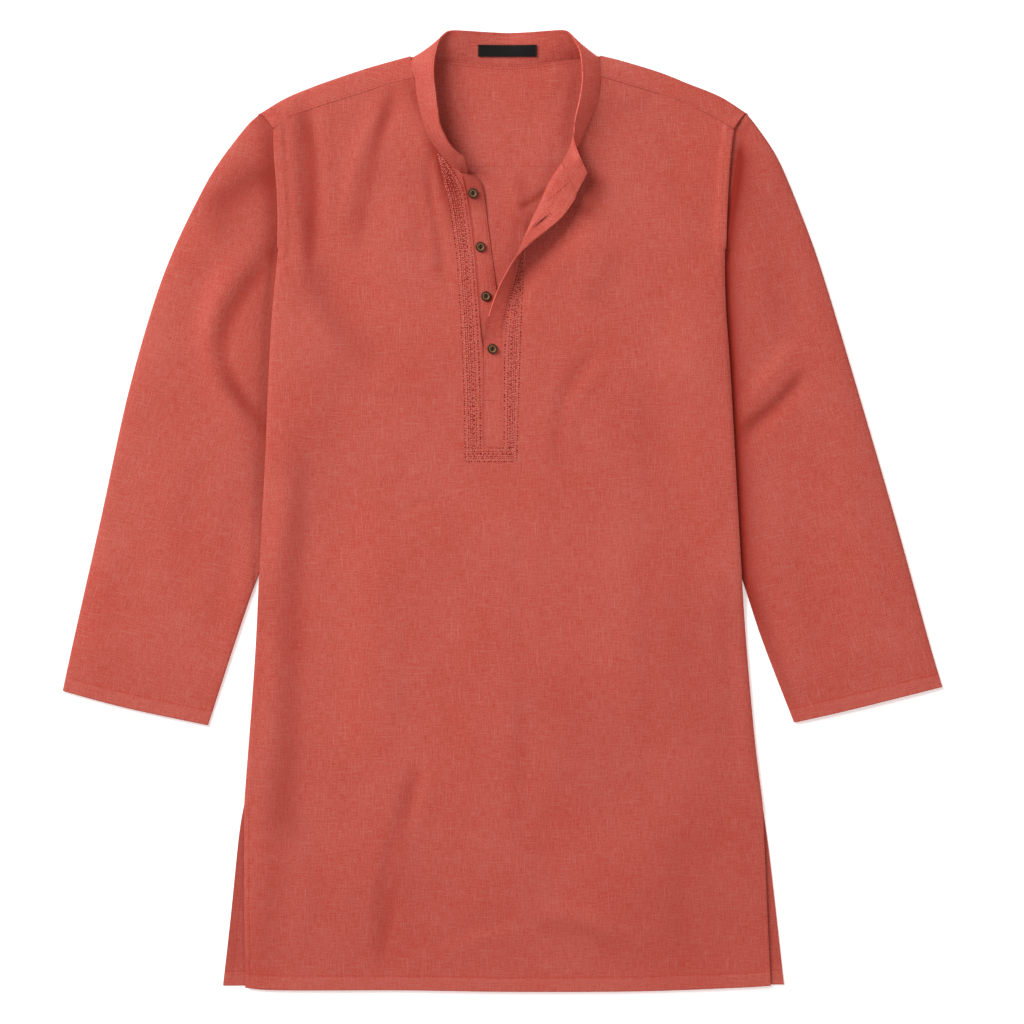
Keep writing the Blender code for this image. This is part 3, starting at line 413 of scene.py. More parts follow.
def dented(p, folds):
    """How far the creases lower the cloth at some plan points."""
    total = np.zeros(p.shape[:-1])
    for fold in folds:
        line = smooth([fold.start, fold.bend, fold.end], 12)
        near = distance(p, [line])
        length = np.linalg.norm(np.subtract(fold.end, fold.start))
        along = (p - np.array(fold.start)) @ (np.subtract(fold.end, fold.start) / length) / length
        fade = ease((along + 0.12) / 0.34) * ease((1.12 - along) / 0.34)
        total += fold.depth * fade * np.exp(-((near / fold.reach) ** 2))
    return total


def painted_shade_at(p, creases, painted_shades):
    """How much painted shade lies at some plan points: half the depth of the creases plus the
    painted-shade rows, with painted highlight where it is negative.
    """
    return 0.5 * dented(p, creases) + dented(p, painted_shades)


def uneven(p, seed, size, height):
    """Gentle irregular swells of about one size, the same each time."""
    dice = np.random.default_rng(seed)
    total = np.zeros(p.shape[:-1])
    count = 26
    for _ in range(count):
        aim = dice.uniform(0, math.pi)
        wave = size * dice.uniform(0.7, 1.5)
        phase = dice.uniform(0, 2 * math.pi)
        across = p[..., 0] * math.cos(aim) + p[..., 1] * math.sin(aim)
        total += np.sin(across * 2 * math.pi / wave + phase)
    return total * height / math.sqrt(count / 2)


SIDES = {side: SIDE[side] + SKIRT[side][1:] for side in (R, L)}
BAND_FOOT = [(s.foot_x, s.foot_y) for s in BAND]
NECKLINE = [foot for foot in BAND_FOOT if foot[1] < 446]
FRONT_FOLDS = [lines[side] for lines in (SHOULDER, SIDES, VENT_FRONT, SLEEVE_OUTER)
               for side in (R, L)]


def across_at(line, y):
    """The x of a line at some heights."""
    line = np.array(sorted(line, key=lambda p: p[1]), float)
    return np.interp(y, line[:, 1], line[:, 0])


def rounding(depth):
    """Share of the full loft this far in from a fold, as a quarter round."""
    t = np.clip(depth / ROUND, 0, 1)
    return np.sqrt(1 - (1 - t) ** 2)


def lifted(p):
    """How far the body is raised where it lies over a tucked sleeve."""
    x, y = p[..., 0], p[..., 1]
    up = ease((ARMPIT_Y + 30 - y) / 78) * ease((y + 128) / 50)
    total = np.zeros(x.shape)
    for side in (R, L):
        past = (across_at(SLEEVE_INNER[side], np.minimum(y, 215)) - x) * side
        total = np.maximum(total, up * (1 - ease(past / TUCK_RAMP)))
    return TUCK_LIFT * total


def turning(gap, depth):
    """The extra height of a turned and stitched edge: a second ply, with its stitches pulled in."""
    ply = 1 - ease((gap - depth + 0.4) / 0.9)
    return 0.4 * ply - 0.28 * np.exp(-(((gap - depth + 0.6) / 0.7) ** 2))


def welt(gap, wide, high):
    """A seam allowance pressed to one side under the cloth, up to its topstitching."""
    rise = high * (1 - ease((gap - wide + 2.2) / 3.0)) * (0.45 + 0.55 * ease(gap / 1.6))
    return rise - 0.30 * np.exp(-(((gap - wide) / 1.0) ** 2))


def back_level(p):
    """How high the middle of the back's cloth lies at some plan points."""
    near_neck = ease((p[..., 1] - 190) / 60)
    gap = distance(p, [HEM_BACK])
    return (CLOTH / 2 + lifted(p) + near_neck * (0.9 - dented(p, BACK_CREASES))
            * ease((110 - np.abs(p[..., 0])) / 60) + turning(gap, BACK_HEM_TURN))


def front_level(p):
    """The front's cloth: rounded down at its folds and raised over turnings and welts."""
    near_neck = np.exp(-((distance(p, [NECKLINE]) / NECK_REACH) ** 2))
    hem = 0.35 + 0.65 * ease((p[..., 1] + 478) / 60)
    swell = uneven(p, 3, 130, 0.30) + uneven(p, 4, 46, 0.07)
    height = LOFT + NECK_LOFT * near_neck - dented(p, FRONT_CREASES) + swell
    flat_edge = turning(distance(p, [HEM_FRONT]), HEM_TURN)
    vents = turning(distance(p, VENT_FRONT.values()), VENT_TURN)
    seams = welt(distance(p, ARMHOLE.values()), WELT, 1.0)
    seams += welt(distance(p, YOKE_SEAM.values()), YOKE_WELT, 0.35)
    base = CLOTH / 2 + lifted(p) + CLOTH + LAY
    sewn = 1 - ease(distance(p, SIDES.values()) / 5)
    base -= (CLOTH + LAY - WALL) * sewn * ease((p[..., 1] + 296) / 10)
    return base + height * rounding(distance(p, FRONT_FOLDS)) * hem + flat_edge + vents + seams


def sleeve_level(p, side):
    """The sleeve's top cloth: pressed flat under the body's side and rounded at its folds."""
    x, y = p[..., 0], p[..., 1]
    depth = distance(p, [SHOULDER[side], SLEEVE_OUTER[side], SLEEVE_INNER[side]])
    outside = (x - across_at(SIDES[side], y)) * side
    armpit = np.hypot(x - SIDES[side][0][0], y - ARMPIT_Y)
    beside = np.minimum(np.maximum(outside - PRESS_CLEAR, 0), armpit)
    pressed = np.where(y < ARMPIT_Y, beside, armpit)
    edge = distance(p, CUFF.values())
    cuff = 0.3 + 0.7 * ease(edge / 60)
    swell = uneven(p, 7, 120, 0.30) + uneven(p, 8, 42, 0.08)
    height = SLEEVE_LOFT - dented(p, SLEEVE_CREASES) + swell
    loft = height * rounding(np.minimum(depth, pressed)) * cuff
    seam = distance(p, [*ARMHOLE.values(), *ARMHOLE_CAP.values()])
    dip = 0.9 * np.exp(-((seam / 5) ** 2)) + 1.5 * np.exp(-((seam / 24) ** 2))
    tucked = dip * rounding(np.minimum(depth, 12) * 2.3) * ease((y - ARMPIT_Y + 30) / 40)
    return CLOTH / 2 + CLOTH + LAY + loft + turning(edge, HEM_TURN) - tucked


def raised(plan, level):
    """Plan points given the height of their layer."""
    return np.concatenate([plan, level[..., None]], axis=-1)


def widening(total, fine):
    """Shares from 0 to 1 across a width: named fine places near its edge, then even steps."""
    count = round((total - fine[-1]) / STEP)
    even = np.linspace(fine[-1], total, count + 1)[1:]
    return list(np.concatenate([fine, even]) / total)


EDGE_FINE = [0, 0.5, 1.4, 2.8, 4.4, 5.2, 5.8, 6.5, 8, 10.5, 13.5]
HEM_FINE = [0, 0.7, 2.5, 5.5, 9, 12, 13, 13.6, 14.2, 15, 17, 20]
TOWARD_CENTRE = widening(236, EDGE_FINE)
FROM_CENTRE = [1 - s for s in reversed(TOWARD_CENTRE)]
HEM_UP = widening(541, HEM_FINE)
SIDE_ROWS = 60
UP_ROWS = 98  # from the placket's foot up to the yoke
SLIT_ROWS = 72


def folded_in(side, curve):
    """A side fold's line brought in by the cloth's turn."""
    return curve + np.array([-side * FOLD_IN, 0])


def turned(bend, start_z, lengths):
    """Points of the cloth round the bend, at lengths measured from where the roll starts."""
    aim = math.radians(bend.aim)
    turn = math.radians(bend.turn)
    out = np.array([math.cos(aim), math.sin(aim)])
    origin = np.array([bend.x, bend.y]) + bend.radius * out
    roll = bend.radius * turn
    found = []
    for length in lengths:
        swept = min(length / bend.radius, turn)
        straight = max(length - roll, 0)
        back = bend.radius * math.sin(swept) + straight * math.cos(turn)
        high = bend.radius * (1 - math.cos(swept)) + straight * math.sin(turn)
        found.append([*(origin - back * out), start_z + high])
    return np.array(found)


BENDS_FINE = [Bend(*row) for row in smooth([tuple(b) for b in BENDS], SLIT_ROWS - 1)]


def edge_row(bend, base):
    """The front's turned edge at one bend, from the strip's seam back round the roll to its base."""
    roll = bend.radius * math.radians(bend.turn)
    reach = roll + bend.inner - SEAM / 2
    rolled = max(roll, 0.4 * reach)
    lengths = [*np.linspace(reach, rolled, 5), *np.linspace(rolled, 0, 9)[1:]]
    row = turned(bend, base[2], lengths)
    row[-1] = base
    return row


def neckline(side):
    """The front's neckline edge on one side, clear of the band's foot, rising to the yoke."""
    line = BAND_FOOT[:8] if side < 0 else BAND_FOOT[23:28][::-1]
    return shifted(smooth(line, 24), -side * BAND_SEAM)


def front_grids():
    """The front below the placket, its two halves above, and its edge that turns over."""
    shares = np.array(HEM_UP)
    outer, yoke = {}, {}
    for side in (R, L):
        fold = folded_in(side, smooth(SIDE[side][::-1], SIDE_ROWS))
        arm = smooth(ARMHOLE[side][::-1], UP_ROWS - SIDE_ROWS) - [side * SEAM / 2, 0]
        arm[0] = fold[-1]
        yoke[side] = smooth(YOKE_SEAM[side], 120)[::side] - [0, SEAM / 2]
        outer[side] = chain(fold, arm)
        outer[side][-1] = yoke[side][0 if side < 0 else -1]

    # The wearer's right half, up to the button stand and the neckline.
    slit = shifted(smooth(STAND_OUTER[:-2] + [(-38.6, 335)], SLIT_ROWS - 1), SEAM)
    foot = [tuple(p) for p in neckline(R)[8:]][::4]
    neck = smooth([(-40.2, 337.6), *foot, tuple(yoke[R][-1])], UP_ROWS - SLIT_ROWS + 1)
    slit[-1] = neck[0]
    inner = chain(slit, neck)
    low = np.array([outer[R][0], inner[0]])
    right = spread(Patch(low, yoke[R], outer[R], inner), TOWARD_CENTRE)

    # The wearer's left half, up to where its edge starts to turn over.
    starts = np.array([[b.x + b.radius * math.cos(math.radians(b.aim)),
                        b.y + b.radius * math.sin(math.radians(b.aim))] for b in BENDS_FINE])
    curve = neckline(L)
    curve = curve[curve[:, 1] > starts[-1][1] + 4]
    neck = smooth([tuple(starts[-1]), *[tuple(p) for p in curve][3::4], tuple(yoke[L][0])],
                  UP_ROWS - SLIT_ROWS + 1)
    inner = chain(starts, neck)
    low = np.array([inner[0], outer[L][0]])
    left = spread(Patch(low, yoke[L], inner, outer[L]), FROM_CENTRE)

    # Below the placket, hem to foot, the two halves and the strip between them in one.
    skirt = {}
    for side in (R, L):
        line = chain(smooth(VENT_FRONT[side][::-1], 60), smooth(SKIRT[side][::-1], 100))
        skirt[side] = placed(folded_in(side, line), shares)
        skirt[side][-1] = outer[side][0]
    slit_foot = edge_row(BENDS_FINE[0], np.append(left[0, 0], 0))
    high = np.vstack([right[0], slit_foot[:, :2], left[0][1:]])
    run = run_of(high)
    hem = smooth(HEM_FRONT, 80)
    hem[0], hem[-1] = skirt[R][0], skirt[L][0]
    lower = spread(Patch(hem, high, skirt[R], skirt[L]), run / run[-1], shares)

    lower, right, left = (raised(plan, front_level(plan)) for plan in (lower, right, left))
    edge = np.array([edge_row(bend, base) for bend, base in zip(BENDS_FINE, left[:, 0])])
    lower[-1] = np.vstack([right[0], edge[0], left[0][1:]])
    return [lower, right, left, edge]


def back_grids():
    """The back, from its hem up to the yoke."""
    sides = []
    for side in (R, L):
        arm = smooth(ARMHOLE[side][::-1], 12)
        arm = [tuple(p) for p in arm if p[1] < YOKE_BACK_Y - 6]
        top = (YOKE_BACK_X[side], YOKE_BACK_Y - SEAM / 2)
        arm = smooth([*arm[::3], top], 24) - [side * SEAM * 2, 0]
        line = chain(smooth(VENT_BACK[side][::-1], 50), smooth(SKIRT[side][::-1], 96),
                     smooth(SIDE[side][::-1], 54))
        line = folded_in(side, line)
        arm[0] = line[-1]
        sides.append(chain(line, arm))
    first, last = sides
    shares = run_of(first) / run_of(first)[-1]
    half = widening(230, EDGE_FINE)
    stations = [s * 0.5 for s in half] + [1 - s * 0.5 for s in reversed(half[:-1])]
    low = smooth(HEM_BACK, 40)
    low[0], low[-1] = first[0], last[0]
    high = np.array([first[-1], last[-1]])
    plan = spread(Patch(low, high, first, last), stations, shares)
    return [raised(plan, back_level(plan))]


def sleeve_grid(side):
    """Rings of the flat tube: its underside, the outer fold, its top and the inner fold."""
    top = chain(smooth(ARMHOLE_CAP[side], 8), smooth(ARMHOLE[side], 40))
    top[:, 0] -= side * 1.1 * ease(np.arange(len(top)) / 9)
    cuff = smooth(CUFF[side], 60)
    shares = 1 - np.array(widening(600, HEM_FINE))[::-1]
    outer = placed(shifted(smooth(SLEEVE_OUTER[side], 200), -side * FOLD_IN), shares)
    inner = placed(shifted(smooth(SLEEVE_INNER[side], 200), side * FOLD_IN), shares)
    near = np.array([0, 0.5, 1.2, 2.4, 4, 6, 8.5, 11.5, 15, 19]) / 150
    even = np.linspace(near[-1], 1 - near[-1], 34)[1:-1]
    stations = np.concatenate([near, even, 1 - near[::-1]])
    outer[0] = top[0] + [side * 0.3, -0.5]
    inner[0] = top[-1] + [side * 0.4, -0.6]
    top[-1] = inner[0]
    cuff[0], cuff[-1] = outer[-1], inner[-1]
    top[0] = outer[0]
    plan = spread(Patch(top, cuff, outer, inner), stations, shares)
    upper = raised(plan, sleeve_level(plan, side))
    below = plan[:, sorted({*range(0, plan.shape[1] - 1, 2), plan.shape[1] - 1})]
    under = raised(below, np.full(below.shape[:2], CLOTH / 2))
    folds = []
    for last, before in ((0, 1), (-1, -2)):
        out = upper[:, last, :2] - upper[:, before, :2]
        out /= np.linalg.norm(out, axis=1)[:, None]
        middle = (under[:, last, 2] + upper[:, last, 2]) / 2
        folds.append(raised(upper[:, last, :2] + out * FOLD_BULGE, middle)[:, None])
    rings = np.concatenate([under[:, ::-1], folds[0], upper, folds[1]], axis=1)
    return rings if side < 0 else rings[:, ::-1]


def yoke_grids():
    """The yoke's back, and on each side the strip that comes over the shoulder to the front."""
    columns = len(TOWARD_CENTRE)
    across = {R: TOWARD_CENTRE, L: FROM_CENTRE}
    fold = {side: placed(smooth(SHOULDER[side], 90)[::side], across[side])
            + [-side * SEAM, -FOLD_IN] for side in (R, L)}
    neck = smooth(BAND_FOOT[11:20], 44) - [0, BAND_SEAM]
    high = chain(fold[R], np.vstack([fold[R][-1], neck, fold[L][0]]), fold[L])
    arms = []
    for side in (R, L):
        corner = ARMHOLE_CAP[side][-1]
        up = smooth([(YOKE_BACK_X[side], YOKE_BACK_Y), corner], 12)
        arm = chain(up, smooth(ARMHOLE_CAP[side][::-1], 7)) + [-side * SEAM / 2, SEAM / 2]
        arm[-1] = high[0 if side < 0 else -1]
        arms.append(arm)
    low = np.array([arms[0][0], arms[1][0]])
    run = run_of(high)
    under = spread(Patch(low, high, *arms), run / run[-1])
    x, y = under[..., 0], under[..., 1]
    level = CLOTH / 2 + 0.9 * ease((110 - np.abs(x)) / 60) * ease((446 - y) / 20)
    to_band = distance(under, [BAND_FOOT[9:22]])
    level += 0.55 * (1 - ease((to_band - 0.6) / 8)) * ease((84 - np.abs(x - 4)) / 10)
    creased = dented(under, BACK_CREASES) * ease((80 - np.abs(x)) / 20)
    under = raised(under, level - creased)
    grids = [under]
    for side, edge in ((R, under[-1][:columns]), (L, under[-1][-columns:])):
        inner = -1 if side < 0 else 0
        front = smooth(YOKE_SEAM[side], 120) + [0, SEAM / 2]
        front = placed(front[::side], across[side])
        arm = smooth(ARMHOLE_CAP[side], 9) + [-side * SEAM / 2, 0]
        corners = [tuple(fold[side][inner]), BESIDE_NECK[side], tuple(front[inner])]
        neck_side = smooth(corners, 9)
        first, last = (arm, neck_side) if side < 0 else (neck_side, arm)
        first[0], last[0] = fold[side][0], fold[side][-1]
        first[-1], last[-1] = front[0], front[-1]
        plan = spread(Patch(fold[side], front, first, last), across[side])
        plan[0], plan[-1] = fold[side], front
        upper = raised(plan, front_level(plan))
        middle = (edge + upper[0]) / 2 + [0, FOLD_BULGE, 0]
        grids.append(np.concatenate([edge[None], middle[None], upper]))
    return grids


def band_grid():
    """The collar band, standing on the neckline: rows from its foot to its free edge."""
    stays = smooth([tuple(s) for s in BAND], 250)
    feet = stays[:, [0, 1, 5]]
    reach = np.linalg.norm(stays[:, 2:4] - stays[:, :2], axis=1)
    rise = np.sqrt(np.maximum(stays[:, 4] ** 2 - reach**2, 1))
    tops = np.column_stack([stays[:, 2:4], feet[:, 2] + rise])
    rows = []
    for t in np.linspace(-0.055, 1, 11):
        row = feet * (1 - t) + tops * t
        row[:, 2] += 4 * t * (1 - t) * 1.2
        rows.append(row)
    return np.array(rows)


def stand_grid():
    """The button stand, which dips under the opening's edge that turns over it."""
    outer = placed(shifted(smooth(STAND_OUTER, 90), -SEAM / 2), np.linspace(0.004, 0.995, 80))
    free = placed(smooth(STAND_FREE, 90), np.linspace(0.004, 1, 80))
    t = np.linspace(0, 1, 8)[None, :, None]
    plan = outer[:, None] * (1 - t) + free[:, None] * t
    under = 1.3 * (1 - ease((plan[..., 1] - 176) / 34)) + 2.2 * ease((plan[..., 1] - 334) / 8)
    under = under + 3.2 * t[..., 0] ** 1.6 * ease((plan[..., 1] - 190) / 40)
    return raised(plan, front_level(plan) - under)


def strip_grid(front_edge):
    """The buttonhole strip, from its seam round to its free edge."""
    rows = []
    for bend, base in zip(BENDS_FINE, front_edge):
        roll = bend.radius * math.radians(bend.turn)
        start = roll + bend.inner + SEAM / 2
        flat = 1 - ease(bend.turn / 20)
        row = turned(bend, base[2], start + np.linspace(0, 1, 10) * (PLACKET - SEAM))
        foot = ease((bend.y - 66) / 9)
        row[:, 2] += flat * (0.9 * foot * np.linspace(0, 1, 10) - 0.12)
        rows.append(row)
    rows = np.array(rows)
    rows[0, :, 1] += SEAM
    along = rows[-1] - rows[-4]
    rows[-1] += along / np.linalg.norm(along, axis=1)[:, None] * 0.8
    rows[-2] = (rows[-1] + rows[-3]) / 2
    return rows[:, ::-1]


def label_grid(band):
    """The label's middle, laid over the inner face of the band's back."""
    wide, high, thick = LABEL
    x0, y0 = LABEL_AT
    flat = band[:, 80:170].reshape(-1, 3)
    rows = []
    for y in np.linspace(y0 - high / 2, y0 + high / 2, 7):
        row = []
        for x in np.linspace(x0 - wide / 2, x0 + wide / 2, 40):
            near = np.exp(-((flat[:, 0] - x) ** 2 + (flat[:, 1] - y) ** 2) / 30)
            z = (near * flat[:, 2]).sum() / near.sum()
            row.append([x, y, z + BAND_WALL / 2 + LAY + 0.4 + thick / 2])
        rows.append(row)
    return np.array(rows)


# ---------------------------------------------------------------------------- finishes


class Value:
    """A shader socket; sums and products of values become Math nodes."""

    def __init__(self, tree, socket):
        self.tree = tree
        self.socket = socket

    def node(self, kind, settings=None, inputs=None, output=0):
        """Any other node, with its settings made first, then its sockets' values or links."""
        made = self.tree.nodes.new(kind)
        for name, value in (settings or {}).items():
            setattr(made, name, value)
        for name, value in (inputs or {}).items():
            if isinstance(value, Value):
                self.tree.links.new(value.socket, made.inputs[name])
            else:
                made.inputs[name].default_value = value
        return Value(self.tree, made.outputs[output])

    def math(self, operation, a, b=0.0):
        return self.node("ShaderNodeMath", {"operation": operation}, {0: a, 1: b})

    def __add__(self, other):
        return self.math("ADD", self, other)

    __radd__ = __add__

    def __sub__(self, other):
        return self.math("SUBTRACT", self, other)

    def __rsub__(self, other):
        return self.math("SUBTRACT", other, self)

    def __mul__(self, other):
        return self.math("MULTIPLY", self, other)

    __rmul__ = __mul__

    def above(self, limit, soft):
        """0 below a limit and 1 above it, over a soft width."""
        shares = {"Value": self, "From Min": limit - soft / 2, "From Max": limit + soft / 2}
        return self.node("ShaderNodeMapRange", {"interpolation_type": "SMOOTHSTEP"}, shares)

    def bump_at(self, place, width):
        """A soft line where this value passes a place: 1 on it, fading over the width."""
        off = self.math("ABSOLUTE", self - place)
        return 1 - off.above(width / 2, width)

    def stretched(self, x, y, z=1.0):
        """A place scaled along its own axes."""
        return self.node("ShaderNodeVectorMath", {"operation": "MULTIPLY"}, {0: self, 1: (x, y, z)})

    def noise(self, detail=2.0, rough=0.5):
        settings = {"Vector": self, "Scale": 1.0, "Detail": detail, "Roughness": rough}
        return self.node("ShaderNodeTexNoise", {"noise_dimensions": "3D"}, settings)

    def paint(self, *rgb):
        """A plain colour."""
        made = self.node("ShaderNodeRGB")
        made.socket.default_value = (*rgb, 1)
        return made

    def place(self):
        """Where a point is on its own object, in metres."""
        return self.node("ShaderNodeTexCoord", None, None, 3)

    def part(self, axis):
        """One of a vector's three numbers."""
        return self.node("ShaderNodeSeparateXYZ", None, {0: self}, axis)

    def tinted(self, shade):
        """A colour made lighter or darker by a value."""
        return self.node("ShaderNodeVectorMath", {"operation": "SCALE"}, {0: self, "Scale": shade})

    def mixed(self, other, share):
        """This colour turned towards another by a share."""
        made = self.tree.nodes.new("ShaderNodeMix")
        made.data_type = "RGBA"
        for key, value in (("Factor_Float", share), ("A_Color", self), ("B_Color", other)):
            socket = next(s for s in made.inputs if s.identifier == key)
            if isinstance(value, Value):
                self.tree.links.new(value.socket, socket)
            else:
                socket.default_value = value
        return Value(self.tree, next(s for s in made.outputs if s.identifier == "Result_Color"))


def blank(name, **fixed):
    """An empty finish, with its constants on the shader's own sockets, and a start for its nodes."""
    made = bpy.data.materials.new(name)
    made.use_nodes = True
    shader = made.node_tree.nodes["Principled BSDF"]
    for key, value in fixed.items():
        shader.inputs[key.replace("_", " ")].default_value = value
    return made, shader, Value(made.node_tree, None)


def attribute(start, name, output=1):
    """A fact kept at each point of the cloth: 1 gives its vector and 2 its number."""
    return start.node("ShaderNodeAttribute", {"attribute_name": name}, None, output)


def feed(shader, socket, value):
    """Link a value to one of the shader's sockets."""
    shader.id_data.links.new(value.socket, shader.inputs[socket])


DEEP_CORAL = (0.400, 0.0500, 0.0335)
PALE_CORAL = (0.468, 0.1180, 0.0920)
# The colour that painted shade turns the cloth towards.
PAINTED_SHADE_CORAL = (0.23, 0.019, 0.011)
# The colour of seam lines, also used for painted shade along hems and cuffs.
SEAM_AND_EDGE_SHADE_CORAL = (0.15, 0.013, 0.008)


def linen(name, lift=1.0):
    """Plain-woven linen: uneven threads both ways, a faint mottle, marks at its seams, and the
    painted shade and painted highlight kept at its points.
    """
    fixed = {"Sheen_Weight": 0.06, "Sheen_Roughness": 0.5, "Specular_IOR_Level": 0.12}
    made, shader, start = blank(name, **fixed)
    shader.inputs["Sheen Tint"].default_value = (1.0, 0.45, 0.36, 1)
    grain = attribute(start, "cloth")
    warp = grain.stretched(0.90, 0.085).noise(2.5, 0.65)
    weft = grain.stretched(0.085, 0.90).noise(2.5, 0.65)
    fine = grain.stretched(1.0, 0.80).noise(2.0, 0.75)
    mottle = grain.stretched(0.012, 0.010).noise(3.0, 0.55)
    slubs_down = grain.stretched(0.62, 0.030, 2.0).noise(1.0).above(0.66, 0.10)
    slubs_over = grain.stretched(0.028, 0.62, 3.0).noise(1.0).above(0.67, 0.10)
    fleck = grain.stretched(0.55, 0.26, 5.0).noise(0.0).above(0.80, 0.04)
    wales = grain.part(0) * (2 * math.pi / 0.72)
    picks = grain.part(1) * (2 * math.pi / 0.76)
    weave = start.math("SINE", wales) * start.math("SINE", picks)

    seam = attribute(start, "seam", 2)
    edge = attribute(start, "edge", 2)
    groove = seam.bump_at(0.0, 0.75)
    hem = 1 - edge.above(HEM_TURN, 0.8)
    hem_line = edge.bump_at(HEM_TURN + 0.3, 1.0)

    tone = (0.5 + (warp - 0.5) * 1.5 + (weft - 0.5) * 1.3 + (fine - 0.5) * 2.6
            + (mottle - 0.5) * 0.7 + slubs_down * 0.35 + slubs_over * 0.35 - fleck * 1.2
            + weave * 0.08 + hem * 0.14 - hem_line * 0.45)
    deep = start.paint(*DEEP_CORAL)
    # The 'deep' mark is painted shade where positive, turning the colour towards PAINTED_SHADE_CORAL,
    # and painted highlight where negative, lightening it.
    depth = attribute(start, "deep", 2)
    rise = start.math("MINIMUM", depth, 0.0)
    dye_with_painted_light = deep.mixed((*PALE_CORAL, 1), tone).mixed((*PAINTED_SHADE_CORAL, 1), depth * 0.17)
    dye_with_painted_light = dye_with_painted_light.tinted(1.0 - rise * 0.055).mixed((*SEAM_AND_EDGE_SHADE_CORAL, 1), groove * 0.7)
    # Painted shade along the hem and cuff edges, where the cloth turns under.
    dye_with_painted_light = dye_with_painted_light.mixed((*SEAM_AND_EDGE_SHADE_CORAL, 1), edge.bump_at(0.0, 1.3) * 0.35)
    feed(shader, "Base Color", dye_with_painted_light)
    feed(shader, "Roughness", 0.82 + (fine - 0.5) * 0.20)

    height = ((warp - 0.5) * 0.9 + (weft - 0.5) * 0.9 + (fine - 0.5) * 0.5 + weave * 0.2
              + slubs_down * 0.5 + slubs_over * 0.5 - groove * 0.5)
    bump = start.node("ShaderNodeBump", None, {"Strength": 0.6 * lift, "Distance": 0.00025,
                                               "Height": height})
    feed(shader, "Normal", bump)
    return made


def thread(name, colour, roughness=0.6):
    """Twisted sewing thread, its tone and roughness varying in fine flecks."""
    made, shader, start = blank(name, Specular_IOR_Level=0.12)
    twist = start.place().stretched(1400, 1400, 1400).noise(1.0)
    feed(shader, "Base Color", start.paint(*colour).tinted(1.0 + (twist - 0.5) * 0.35))
    feed(shader, "Roughness", roughness + (twist - 0.5) * 0.2)
    return made


def horn():
    """Turned dark horn with a bronze ring let into its face."""
    made, shader, start = blank("dark_horn", Specular_IOR_Level=0.2)
    out = attribute(start, "out", 2)
    streak = start.place().stretched(520, 1500, 600).noise(3.0, 0.6)
    ring = out.bump_at(2.95, 0.7)
    brown = start.paint(0.020, 0.011, 0.007).mixed((0.060, 0.034, 0.018, 1), streak)
    bronze = brown.mixed((0.330, 0.165, 0.055, 1), ring * (0.35 + streak * 0.9))
    feed(shader, "Base Color", bronze)
    feed(shader, "Metallic", ring * 0.3)
    feed(shader, "Roughness", 0.55 - ring * 0.08 + (streak - 0.5) * 0.25)
    return made


def satin():
    """Black woven satin ribbon."""
    made, shader, start = blank("black_satin", Specular_IOR_Level=0.18)
    grain = attribute(start, "cloth")
    ribs = start.math("SINE", grain.part(1) * (2 * math.pi / 0.45))
    yarn = grain.stretched(0.35, 3.2).noise(2.0)
    black = start.paint(0.0045, 0.0042, 0.0045)
    folded_end = attribute(start, "seam", 2)
    # A painted shade line along the crease where each end of the label folds, with the folded ends
    # paler.
    crease_shade = folded_end.bump_at(2.4, 0.7)
    ply = 1 - folded_end.above(2.4, 0.4)
    shade = 1.0 + (yarn - 0.5) * 0.9 + ribs * 0.12 + ply * 0.9 - crease_shade * 0.7
    feed(shader, "Base Color", black.tinted(shade))
    feed(shader, "Roughness", 0.50 + (yarn - 0.5) * 0.25)
    height = ribs * 0.5 + (yarn - 0.5)
    bump = start.node("ShaderNodeBump", None, {"Strength": 0.5, "Distance": 0.0001, "Height": height})
    feed(shader, "Normal", bump)
    return made


# ---------------------------------------------------------------------------- making pieces


def piece(name, points, faces, material, slot, **facts):
    """A mesh object in millimetres, riding on the garment, with facts kept at its points."""
    mesh = bpy.data.meshes.new(name)
    mesh.from_pydata([tuple(p) for p in np.asarray(points) * MM], [], faces)
    mesh.validate()
    mesh.shade_smooth()
    for key, values in facts.items():
        values = np.asarray(values, float)
        kind = "FLOAT_VECTOR" if values.ndim == 2 else "FLOAT"
        stored = mesh.attributes.new(key, kind, "POINT")
        stored.data.foreach_set("vector" if values.ndim == 2 else "value", values.ravel())
    mesh.materials.append(material)
    obj = bpy.data.objects.new(name, mesh)
    bpy.context.scene.collection.objects.link(obj)
    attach(obj, "root")
    return obj


def welded(grids, grains, gaps, ring=False):
    """Grids joined where their points meet: points, faces and the facts at each point."""
    index, points, grain, gap, faces = {}, [], [], [], []
    for grid, coords, marks in zip(grids, grains, gaps):
        keys = np.round(grid, 3)
        rows = []
        for i in range(len(grid)):
            ids = []
            for j in range(len(grid[0])):
                key = (keys[i, j, 0], keys[i, j, 1], keys[i, j, 2])
                if key not in index:
                    index[key] = len(points)
                    points.append(grid[i, j])
                    grain.append(coords[i, j])
                    gap.append(marks[i, j])
                ids.append(index[key])
            if ring:
                ids.append(ids[0])
            rows.append(ids)
        for a, b in zip(rows, rows[1:]):
            faces += [(a[j], a[j + 1], b[j + 1], b[j]) for j in range(len(a) - 1)]
    faces = [f for f in faces if len(set(f)) == 4]
    return np.array(points), faces, np.array(grain), np.array(gap)


